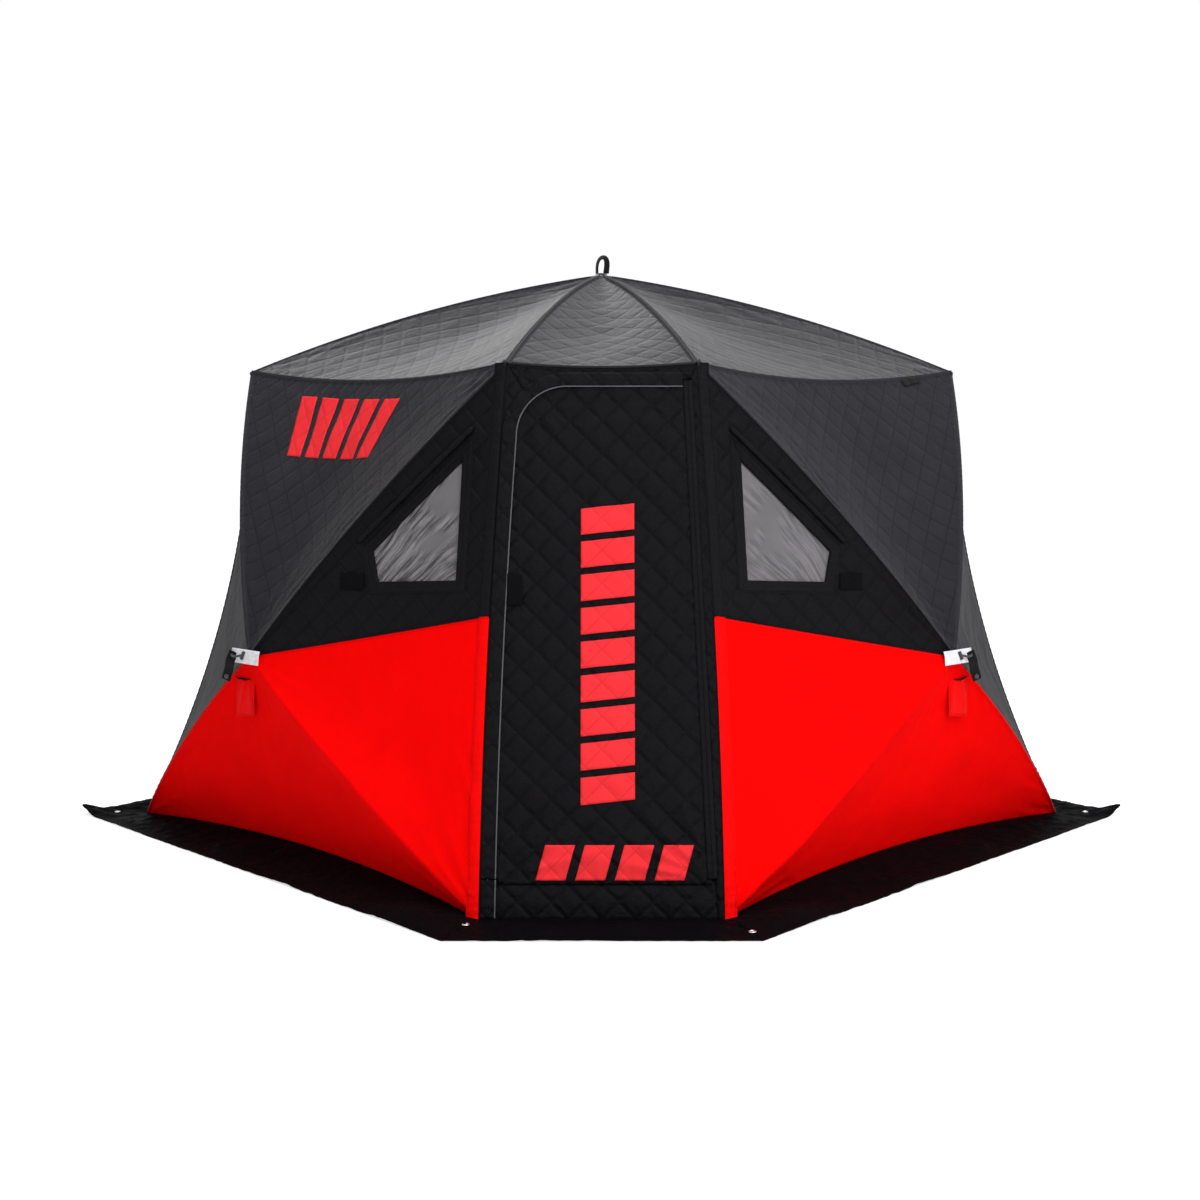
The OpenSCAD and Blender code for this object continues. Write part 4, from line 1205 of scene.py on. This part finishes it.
def band(line, insides, widths, colours, look=None, cloths=(None, None)):
    # a stitched band over a seam: profile points on both sides of the line, closed underneath
    look = {**bandLook, **(look or {})}
    along = runningLength(line)
    run = unit(np.gradient(line, axis=0))
    outDirection = unit(line - inMiddle)
    frames = []
    for inside in insides:
        aside = unit(inside - (inside * run).sum(axis=1)[:, None] * run)
        normal = np.cross(run, aside)
        normal *= np.sign((normal * outDirection).sum(axis=1).mean())
        frames.append((aside, normal))
    middle = unit(frames[0][1] + frames[1][1])
    wave = np.sin(along * 2 * math.pi / look["puckerStep"] + 1.8 * np.sin(along * 17))
    columns = []
    for side, ((aside, normal), width, panel) in enumerate(zip(frames, widths, cloths)):
        inner = width - min(look["stitchIn"], 0.35 * width)
        third = inner - min(0.004, 0.25 * width)
        # distance from the line, share of the lift (or depth, if below 0), and share of the puckers
        steps = [(width + 0.0018, -0.0030, 0), (width - 0.0008, 0.7, 0.8), (inner, 0.25, 0.2),
                 (third, 0.9, 1.0), (min(0.45 * width, 0.8 * third), 1.0, 0.8),
                 (min(0.0016, 0.2 * width), 0.6, 0.2)]
        made = []
        for d, share, part in steps:
            place = line + aside * d
            height = share if share < 0 else look["lift"] * share
            height = height + look["pucker"] * part * wave * min(1, width / 0.015)
            if panel is not None:
                total, puff = clothHeight(panel, *toFlat(panel, place))
                height = height + total + puff
            made.append((place + normal * height[:, None], d - inner))
        columns += made if side == 0 else made[::-1]
        if side == 0:
            columns.append((line + middle * -0.0004, -inner))
    under = look["under"]
    base = [line + frames[1][0] * widths[1] - frames[1][1] * under, line - middle * under,
            line + frames[0][0] * widths[0] - frames[0][1] * under]
    columns += [(p, -1.0) for p in base]
    grid = np.stack([c[0] for c in columns], axis=1)
    flat = flatGrid(along, [c[1] for c in columns])
    rows, count = grid.shape[:2]
    points = grid.reshape(-1, 3)
    faces = gridFaces(rows, count, wrap=True)
    half = (count - 3) // 2
    profile = [colours[0] if j < half or j >= count - 2 else colours[1] for j in range(count)]
    faces += [tuple(range(count)), tuple(reversed(range((rows - 1) * count, rows * count)))]
    return points, outward(points, faces), flat, profile * (rows - 1) + [colours[0], colours[0]]


bandNames = ["charcoal_band", "black_band", "red_band"]
charcoal, black, red = 0, 1, 2


def flippedY(surface):
    return lambda q, s: surface(q, s) * vec(1, -1, 1)


def hubSteps(start):
    reach = float(np.linalg.norm(hubAt - start))
    return np.linspace(0, 1 - bandLook["hubGap"] / reach, round(reach / bandLook["spacing"]))


def quarterSeams(quarter):
    top, side, pane, lower, roof = (panels[kind + "_" + quarter] for kind in quarterPanels)
    parts = []
    seams = [(topSurface, 0, windowSurface, 0, eaveEnd, (0.033, 0.010), (charcoal, black), (top, pane)),
             (topSurface, 1, sideSurface, 0, eaveSide, (0.020, 0.020), (charcoal, charcoal), (top, side)),
             (windowSurface, 1, lowerSurface, 0, splitPoint, (0.008, 0.006), (black, red), (pane, lower)),
             (lowerSurface, 1, sideSurface, 1, baseSide, (0.010, 0.020), (red, charcoal), (lower, side))]
    for first, q, second, r, start, widths, colours, cloths in seams:
        s = hubSteps(start)
        line, inA = sideLine(first, q, s)
        inB = sideLine(second, r, s)[1]
        parts.append(band(line, (inA, inB), widths, colours, cloths=cloths))
    jambSeams = [(windowSurface, 1.0, (0.040, 0.005), (black, black), {"pucker": 0.0016}, pane),
                 (lowerSurface, lowerTurn, (0.042, 0.005), (red, black), {"pucker": 0.0014}, lower)]
    for surface, last, widths, colours, look, cloth in jambSeams:
        line, inA = rimLine(surface, last)
        inB = np.broadcast_to(vec(-1, 0, 0), line.shape)
        parts.append(band(line, (inA, inB), widths, colours, look, (cloth, None)))
    line, inA = rimLine(topSurface)
    inB = rimLine(roofSideSurface)[1]
    parts.append(band(line, (inA, inB), (0.010, 0.008), (charcoal, charcoal), {"lift": 0.0032}, (top, roof)))
    s = np.linspace(0, bandLook["roofEnd"], 150)
    line, inA = sideLine(roofSideSurface, 0, s)
    inB = sideLine(roofEndSurface, 1, s)[1]
    parts.append(band(line, (inA, inB), (0.014, 0.014), (charcoal, charcoal), cloths=(roof, None)))
    return parts


def sideSeams():
    line, inA = rimLine(sideSurface)
    inB = rimLine(flippedY(sideSurface))[1]
    parts = [band(line, (inA, inB), (0.018, 0.018), (charcoal, charcoal))]
    s = np.linspace(0, bandLook["roofEnd"], 160)
    line, inA = sideLine(roofSideSurface, 1, s)
    inB = sideLine(flippedY(roofSideSurface), 1, s)[1]
    parts.append(band(line, (inA, inB), (0.014, 0.014), (charcoal, charcoal)))
    return parts


def endSeamParts():
    line, inA = rimLine(roofEndSurface)
    return [band(line, (inA, np.broadcast_to(-slopeUp, line.shape)), (0.008, 0.012), (charcoal, black))]


for quarter, signs in quarters.items():
    joinedPiece("seams_" + quarter, quarterSeams(quarter), bandNames, signs=signs)
for makeSeams, copies in ((sideSeams, sides), (endSeamParts, ends)):
    for name, signs in copies.items():
        joinedPiece("seams_" + name, makeSeams(), bandNames, signs=signs)

# windows
print("windows")


def offsetCorners(corners, aside):
    # the corners of an outline moved outward by a distance
    corners = np.array(corners)
    centre = corners.mean(axis=0)
    lines = []
    for a, b in edgesOf(corners):
        run = unit(b - a)
        out = np.array([run[1], -run[0]])
        out = out if (a - centre) @ out > 0 else -out
        lines.append((a + aside * out, run))
    return np.array([meet(a, b) for a, b in zip([lines[-1]] + lines[:-1], lines)])


def windowFrame(panel):
    # a stitched border round the opening, mitred at its corners
    step = window["borderStep"]
    counts = [max(2, round(float(np.linalg.norm(b - a)) / step)) for a, b in edgesOf(panel["opening"])]
    rows, flats = [], []
    for aside, lift in window["borderProfile"]:
        corners = offsetCorners(panel["opening"], aside)
        line = np.vstack([a + (b - a) * np.linspace(0, 1, n, endpoint=False)[:, None]
                          for (a, b), n in zip(edgesOf(corners), counts)])
        at = np.arange(len(line)) * step
        wave = 0.0008 * np.sin(at * 260 + 2 * np.sin(at * 30)) * (0.0 < aside < 0.034)
        rows.append(onPanel(panel, line, lift + wave, cloth=lift > -0.004))
        flats.append(np.stack([at, np.full(len(line), aside - window["border"])], axis=1))
    points = np.vstack(rows)
    return points, outward(points, ringFaces(len(rows), len(rows[0]))), np.vstack(flats), 0


def windowRoll(panel):
    # the rolled cover over the slanted edge
    corners = offsetCorners(panel["opening"], window["rollAside"])
    a = corners[3] + (corners[0] - corners[3]) * 0.02
    b = corners[0] + (corners[3] - corners[0]) * 0.04
    at = np.linspace(0, 1, 60)
    flat = a + (b - a) * at[:, None]
    ties = 1 - 0.16 * np.abs(np.sin(at * 22)) ** 6
    radius = window["rollRadius"] * ties * np.sqrt(np.clip(arch(at) * 12, 0.05, 1))
    path = onPanel(panel, flat, window["rollLift"], cloth=False)
    return tube(path, radius, 10, flat=0.75, up=panel["out"])


def windowPane(panel, seed, creasing):
    # creases fan out from beyond the corner by the hub's foot
    corners = offsetCorners(panel["opening"], window["filmUnder"])
    count = window["filmGrid"]
    flat, fromHub, fromFoot = fourCornered([corners[2], corners[1], corners[0], corners[3]], count, count)
    rim = np.minimum(arch(fromHub), arch(fromFoot))
    pivot = corners[2] + (corners[2] - corners[0]) * 0.9
    away = flat - pivot
    angle = np.arctan2(away[..., 1], away[..., 0])
    far = np.hypot(away[..., 0], away[..., 1])
    across = angle * 0.75 + 0.010 * np.sin(far * 11 + seed) + 0.004 * np.sin(far * 31 + 2 * seed)
    byHub = fromHub + 0.35 * softNoise(flat[..., 0], flat[..., 1], 0.16, seed)
    byFoot = fromFoot + 0.2 * softNoise(flat[..., 0], flat[..., 1], 0.1, seed + 5)
    creased = np.maximum(1 - smooth(byHub, *window["creasedByHub"]),
                         1 - smooth(byFoot, *window["creasedByFoot"])) * creasing
    folds = 1 - 2 * np.abs(np.sin(across * 115 + seed)) ** 0.7
    folds = folds + 0.5 * np.sin(across * 310 + 3 * np.sin(far * 6))
    height = -window["filmSink"] + window["filmFold"] * folds * creased * smooth(rim, 0.0, 0.3)
    grid = onPanel(panel, flat, height, cloth=False)
    along = np.stack([across, far], axis=-1).reshape(-1, 2)
    return sheetPart(grid, panel["out"], window["filmThick"], along), np.tile(creased.ravel(), 2)


paneParts, creaseShares = [], []
for index, (quarter, signs) in enumerate(quarters.items()):
    panel = panels["window_" + quarter]
    joinedPiece("window_frame_" + quarter, [windowFrame(panel), windowRoll(panel)], ["black_band"],
                signs=signs)
    part, creased = windowPane(panel, index + 1, window["creasing"][quarter.split("_")[1]])
    paneParts.append(placedPart(part, signs))
    creaseShares.append(creased)
panes = joinedPiece("window_film", paneParts, ["clear_vinyl"], nodes=["window_sheets"])
panes.data.attributes.new("creased", "FLOAT", "POINT").data.foreach_set(
    "value", np.concatenate(creaseShares).astype(np.float32))

paneCorners = offsetCorners(panels["window_front_right"]["opening"], window["filmUnder"])

# skirt
print("skirt")
skirt = {
    "sideWidth": 0.255, "endWidth": 0.245, "spread": 0.095, "gap": 0.0025, "thickness": 0.0022, "step": 0.014,
    "lead": (0.4, -1, 0), "points": 19, "hem": 0.022, "hemThick": 0.0012, "hemCut": 0.030,
    "waves": 0.016, "waveSize": 0.42, "ripples": 0.006, "rippleSize": 0.13, "fineRipples": 0.0030,
    "fineSize": 0.050, "tipRise": 0.026, "tipReach": 0.15,
    "hump": 0.024, "humpAt": (0.10, -1.755), "humpSize": (0.085, 0.045),
    "eyelet": 0.0078, "ring": 0.0046, "tipEyelet": 0.112, "cornerEyelets": {"left": 0.34, "right": 0.72},
}
skirtSide = baseSide + vec(skirt["sideWidth"], 0, 0)
skirtEnd = baseEnd + vec(skirt["spread"], -skirt["endWidth"], 0)


def looseWaves(x, y, share):
    # waves and two sizes of ripples of cloth that lies loose
    rise = skirt["waves"] * np.clip(softNoise(x, y, skirt["waveSize"], 91), 0, 2) * smooth(share, 0.05, 0.6)
    rise += skirt["ripples"] * np.abs(softNoise(x, y, skirt["rippleSize"], 92)) * smooth(share, 0.0, 0.3)
    fine = np.abs(softNoise(x, y, skirt["fineSize"], 93))
    return rise + skirt["fineRipples"] * fine * smooth(share, 0.0, 0.2)


def skirtLift(p, share, toRim):
    # waves of the cloth over the ground, alike in all quarters where two skirts meet at a corner
    x, y = p[..., 0], p[..., 1]
    run = unit((skirtEnd - baseEnd)[:2])
    fromSeam = np.abs((np.abs(x) - baseEnd[0]) * run[1] + (np.abs(y) + baseEnd[1]) * run[0])
    rise = looseWaves(np.abs(x), -np.abs(y), share)
    rise += (looseWaves(x, y, share) - rise) * smooth(fromSeam, 0.01, 0.16)
    tip = np.hypot(np.abs(x) - skirtSide[0], y)
    rise += skirt["tipRise"] * (1 - smooth(tip, 0.0, skirt["tipReach"])) * smooth(share, 0.4, 1.0)
    humpX, humpY = ((a - at) / size for a, at, size in zip((x, y), skirt["humpAt"], skirt["humpSize"]))
    rise += skirt["hump"] * np.exp(-np.hypot(humpX, humpY) ** 2)
    rise *= 1 - 0.75 * smooth(share, 0.72, 0.97) * smooth(tip, 0.0, skirt["tipReach"])
    return rise + skirt["hemThick"] * (toRim < skirt["hem"])


def withHoles(grid, holes, radius):
    # moves the points round each hole's nearest point onto its circle, and says which points to leave out
    gone = set()
    rows, columns = grid.shape[:2]
    for centre in holes:
        away = np.linalg.norm((grid - centre)[..., :2], axis=2)
        i, j = np.unravel_index(int(away.argmin()), away.shape)
        i, j = min(max(i, 1), rows - 2), min(max(j, 1), columns - 2)
        gone.add(i * columns + j)
        for a in (-1, 0, 1):
            for b in (-1, 0, 1):
                if a or b:
                    aside = grid[i + a, j + b] - grid[i, j]
                    grid[i + a, j + b, :2] = centre[:2] + radius * unit(aside[:2])
    return gone


def skirtPiece(name, node, start, rim, holes, signs):
    # a skirt between its sewn line and its rim, flared over the ground
    lengths = np.linalg.norm(rim - start, axis=1)
    shares = np.linspace(0, 1, skirt["points"])          # the same in each skirt, so that their ends meet
    grid = start[:, None] + (rim - start)[:, None] * shares[None, :, None]
    toRim = (1 - shares)[None, :] * lengths[:, None]
    shareGrid = np.broadcast_to(shares, grid.shape[:2])
    sewn = start[:, None, 2] * (1 - shareGrid) ** 2
    grid[..., 2] = sewn + skirt["thickness"] + skirtLift(grid, shareGrid, toRim)
    gone = withHoles(grid, holes, skirt["eyelet"])
    along = runningLength(rim)
    cloth = sheetPart(grid, vec(0, 0, 1), skirt["thickness"], flatGrid(along, toRim - skirt["hem"]), gone)
    piece = joinedPiece(name, [cloth], ["skirt_cloth"], signs=signs, nodes=[node])
    return grid


def eyeletRing(grid, centre):
    # a pressed metal ring on the cloth round a point
    away = np.linalg.norm((grid - centre)[..., :2], axis=2)
    height = float(grid[..., 2].ravel()[away.ravel().argmin()])
    angles = np.linspace(0, 2 * math.pi, 25)[:-1]
    inner, outer = skirt["eyelet"] - 0.0008, skirt["eyelet"] + skirt["ring"]
    profile = [(inner, -0.0030), (inner, 0.0006), (inner + 0.0014, 0.0017), (outer - 0.001, 0.0014),
               (outer, 0.0002), (outer, -0.0030)]
    points = np.vstack([np.stack([centre[0] + radius * np.cos(angles), centre[1] + radius * np.sin(angles),
                                  np.full(len(angles), height + lift)], axis=1) for radius, lift in profile])
    return points, outward(points, ringFaces(len(profile), len(angles))), None, 0


def sideSkirt():
    # the sewn line and the rim of a side's skirt, from back to front
    count = round(2 * lengthOf(hem(np.linspace(0, 1, 30))) / skirt["step"])
    w = np.linspace(-1, 1, count + 1)
    t = np.abs(w)
    sign = np.stack([np.ones_like(w), np.where(w < 0, -1, 1), np.ones_like(w)], axis=1)
    lead = mid(vec(1, 0, 0), unit(vec(*skirt["lead"])), t)
    return (hem(t) + skirt["gap"] * lead) * sign, mid(skirtSide, skirtEnd, t) * sign


rings = []
sideStart, sideRim = sideSkirt()
tipHole = baseSide + vec(skirt["tipEyelet"], 0, 0)
for side, (sign, _) in sides.items():
    grid = skirtPiece("skirt_cloth_" + side, "skirt_" + side, sideStart, sideRim, [tipHole], (sign, 1))
    corner = mid(sideStart[-1], sideRim[-1], skirt["cornerEyelets"][side])
    for centre, copies in ((tipHole, (1,)), (corner, (1, -1))):
        rings += [placedPart(eyeletRing(grid, centre), (sign, end)) for end in copies]
share = np.linspace(0, 1, round(2 * skirtEnd[0] / skirt["step"]) + 1)
for end, signs in ends.items():
    skirtPiece("skirt_cloth_" + end, "skirt_" + end, mid(sideStart[0] * vec(-1, -1, 1), sideStart[-1], share),
               mid(sideRim[0] * vec(-1, -1, 1), sideRim[-1], share), [], signs)
joinedPiece("eyelets", rings, ["eyelet_metal"])

# tags, cords and straps on the hubs, and the loop on the roof
print("fittings")
fitting = {
    "tag": (0.126, 0.048, 0.0015), "tagTurn": 0.26, "tagStandOff": 0.008, "tagBow": 0.0022,
    "strap": (0.108, 0.034, 0.0025), "strapTurn": 0.60, "strapAt": 0.052, "strapLift": 0.0045,
    "strapLean": 0.35, "strapFall": 0.012, "cordRadius": 0.0042, "cordReach": 0.048,
    "barRadius": 0.0055, "barHalf": 0.014, "rivet": 0.0085, "rivetIn": 0.026,
    "loopHalf": 0.027, "loopHigh": 0.066, "loopLean": 0.009, "webbing": (0.024, 0.0030), "loopTwist": 0.90,
}
hubAcross = unit(np.cross(hubOut, vec(0, 0, 1)))
hubAcross = hubAcross if hubAcross[1] > 0 else -hubAcross
downHub = -unit(np.cross(hubOut, hubAcross))
downHub = downHub if downHub[2] < 0 else -downHub
tagRun = math.cos(fitting["tagTurn"]) * hubAcross + math.sin(fitting["tagTurn"]) * hubOut
tagOut = math.cos(fitting["tagTurn"]) * hubOut - math.sin(fitting["tagTurn"]) * hubAcross
tagAt = hubAt + hubOut * (tagLift + fitting["tagStandOff"])
strapTop = tagAt + tagRun * fitting["strapAt"] + tagOut * fitting["strapLift"]
strapRun = unit(downHub + fitting["strapLean"] * hubAcross)
strapSide = unit(np.cross(strapRun, hubOut - fitting["strapTurn"] * hubAcross))
strapOut = np.cross(strapSide, strapRun)


def slab(corner, first, second, out, size, counts, bulge):
    # a thin plate of cloth or webbing with a shape of its own
    a = np.linspace(0, 1, counts[0] + 1)[:, None]
    b = np.linspace(0, 1, counts[1] + 1)[None, :]
    height = bulge(a, b) * np.ones((counts[0] + 1, counts[1] + 1))
    grid = (corner + (a * size[0])[..., None] * first + (b * size[1])[..., None] * second
            + height[..., None] * out)
    return sheetPart(grid, out, size[2], flatGrid((a * size[0])[:, 0], b * size[1]))


def tagPlate():
    long, wide, thick = fitting["tag"]
    corner = tagAt - tagRun * long / 2 - downHub * wide / 2 + tagOut * thick / 2

    def bulge(a, b):
        bow = fitting["tagBow"] * np.sin(math.pi * a)
        return bow + 0.0008 * np.sin(9 * a + 5 * b) - 0.0016 * (2 * b - 1) ** 2
    return slab(corner, tagRun, downHub, tagOut, (long, wide, thick), (32, 12), bulge)


def strapFall(a):
    # the strap leaves the tag's edge and falls towards the wall
    return 0.006 * np.sin(math.pi * np.clip(a * 1.5, 0, 1)) ** 2 - fitting["strapFall"] * a


def hubStrap():
    # webbing from the tag's outer end down to its rivet
    long, wide, thick = fitting["strap"]
    corner = strapTop - strapRun * 0.012 - strapSide * wide / 2

    def bulge(a, b):
        return strapFall(a) + 0.0008 * np.cos(2 * math.pi * b)
    return slab(corner, strapRun, strapSide, strapOut, (long, wide, thick), (36, 6), bulge)


def hubCord():
    # a short toggle cord from the strap over the tag, its cross bar, and the rivet of the strap
    s = np.linspace(0, 1, 26)[:, None]
    path = (strapTop - tagRun * fitting["cordReach"] * s + tagOut * (0.004 + 0.008 * arch(s) - 0.001 * s)
            + downHub * 0.004 * np.sin(4.0 * s))
    bar = path[-1] + unit(downHub + 0.25 * tagRun) * np.linspace(-1, 1, 7)[:, None] * fitting["barHalf"]
    rivetAt = strapTop + strapRun * (fitting["strap"][0] - fitting["rivetIn"])
    rivetAt = rivetAt + strapOut * float(strapFall(0.87))
    rivet = rivetAt + strapOut * np.array([-0.002, 0.0024, 0.0042])[:, None]
    rivetRadius = fitting["rivet"] * np.array([1.0, 1.0, 0.5])
    return [tube(path, fitting["cordRadius"], 8, up=tagOut), tube(bar, fitting["barRadius"], 8, up=tagOut),
            tube(rivet, rivetRadius, 16, up=downHub)]


tagParts, strapParts, cordParts, rivetParts = [], [], [], []
for signs in quarters.values():
    cord, bar, rivet = hubCord()
    for part, into in ((tagPlate(), tagParts), (hubStrap(), strapParts), (cord, cordParts), (bar, cordParts),
                       (rivet, rivetParts)):
        into.append(placedPart(part, signs))
joinedPiece("hub_tag_plates", tagParts, ["reflective_tag"], nodes=["hub_tags"])
joinedPiece("hub_straps", strapParts, ["black_webbing"], nodes=["pull_straps"])
joinedPiece("toggle_cords", cordParts, ["black_plastic"])
joinedPiece("strap_rivets", rivetParts, ["black_plastic"])


def roofLoop():
    # a leaning loop of webbing, twisted so that its flat side shows
    webbing, thick = fitting["webbing"]
    foot = peak + vec(0, 0, low("roof_loop", 2) - peak[2])
    angle = np.linspace(math.pi, 0, 44)
    shape = np.sin(angle)
    x = fitting["loopHalf"] * np.cos(angle) * (0.70 + 0.12 * shape)
    x = x + fitting["loopLean"] * shape * np.cos(angle / 2)
    rise = (fitting["loopHigh"] - 0.004) * shape ** 0.75
    path = foot + np.stack([x, 0.003 * np.sin(angle * 2), rise], axis=1)
    run = unit(np.gradient(path, axis=0))
    out = unit(np.stack([-run[:, 2], 0 * x, run[:, 0]], axis=1))
    twist = fitting["loopTwist"] * (1 - 0.35 * np.cos(angle))[:, None]
    wide = unit(np.cos(twist) * out + np.sin(twist) * vec(0, 1, 0))
    normal = unit(np.cross(run, wide))
    share = np.linspace(-0.5, 0.5, 7)
    bend = 0.0006 * np.cos(2 * math.pi * share)
    grid = (path[:, None] + webbing * share[None, :, None] * wide[:, None]
            + bend[None, :, None] * normal[:, None])
    points, faces, flat, mark = sheetPart(grid, np.repeat(normal, len(share), axis=0), thick,
                                          flatGrid(runningLength(path), share * webbing))
    return points, outward(points, faces), flat, mark


joinedPiece("roof_webbing_loop", [roofLoop()], ["black_webbing"], nodes=["roof_loop"])

# stage
print("stage")


def splitLight(material, shown, other):
    # one strength where the camera, a mirror or a clear sheet looks, and another for the light itself
    rays = addNode(material, "ShaderNodeLightPath").outputs
    seen = calc(material, "MAXIMUM", rays["Is Camera Ray"],
                calc(material, "MAXIMUM", rays["Is Glossy Ray"], rays["Is Transmission Ray"]))
    return calc(material, "MULTIPLY_ADD", seen, shown - other, other)


light = {
    "world": 0.58, "floor": 0.80, "floorShown": 0.66, "floorHalf": 40.0,
    "key": 330.0, "keySize": 4.0, "keyPlace": (3.0, -5.8, 5.0), "keyAim": (0, 0, 0.9),
    "top": 190.0, "topSize": 5.0, "topPlace": (0, 0.5, 6.5), "topAim": (0, 0, 1),
}

world = bpy.data.worlds.new("world")
world.use_nodes = True
bpy.context.scene.world = world
background = world.node_tree.nodes["Background"]
background.inputs["Color"].default_value = (1, 1, 1, 1)
setInput(world, background, "Strength", splitLight(world, 1.0, light["world"]))


def areaLight(name):
    data = bpy.data.lights.new(name, "AREA")
    data.shape = "DISK"
    data.size = light[name + "Size"]
    data.energy = light[name]
    lamp = bpy.data.objects.new(name, data)
    lamp.location = light[name + "Place"]
    aim = np.array(light[name + "Aim"]) - np.array(light[name + "Place"])
    turn = math.atan2(aim[1], aim[0]) - math.pi / 2
    lamp.rotation_euler = (math.acos(-aim[2] / np.linalg.norm(aim)), 0, turn)
    bpy.context.scene.collection.objects.link(lamp)


areaLight("key")
areaLight("top")

floorMaterial, floorShader = newMaterial("floor")
floorShader.inputs["Base Color"].default_value = (light["floor"],) * 3 + (1,)
floorShader.inputs["Roughness"].default_value = 0.9
floorShader.inputs["Specular IOR Level"].default_value = 0.0
floorShader.inputs["Emission Color"].default_value = (1, 1, 1, 1)
setInput(floorMaterial, floorShader, "Emission Strength", splitLight(floorMaterial, light["floorShown"], 0.0))
half = light["floorHalf"]
floor = meshObject("floor", [(-half, -half, -0.001), (half, -half, -0.001), (half, half, -0.001),
                             (-half, half, -0.001)], [(0, 1, 2, 3)], smoothShade=False)
floor.data.materials.append(floorMaterial)

bpy.context.scene.view_settings.view_transform = "Standard"

# finishes of the carried pieces
slotOf = {part["node"]: part["material_slot"] for part in frame["record"]["subparts"]}
for name, node in frame["nodes"].items():
    finish = materials.get(slotOf[name], materials["black_plastic"])
    if not node.material_slots:
        node.data.materials.append(finish)
    for slot in node.material_slots:
        slot.material = finish

print("done")
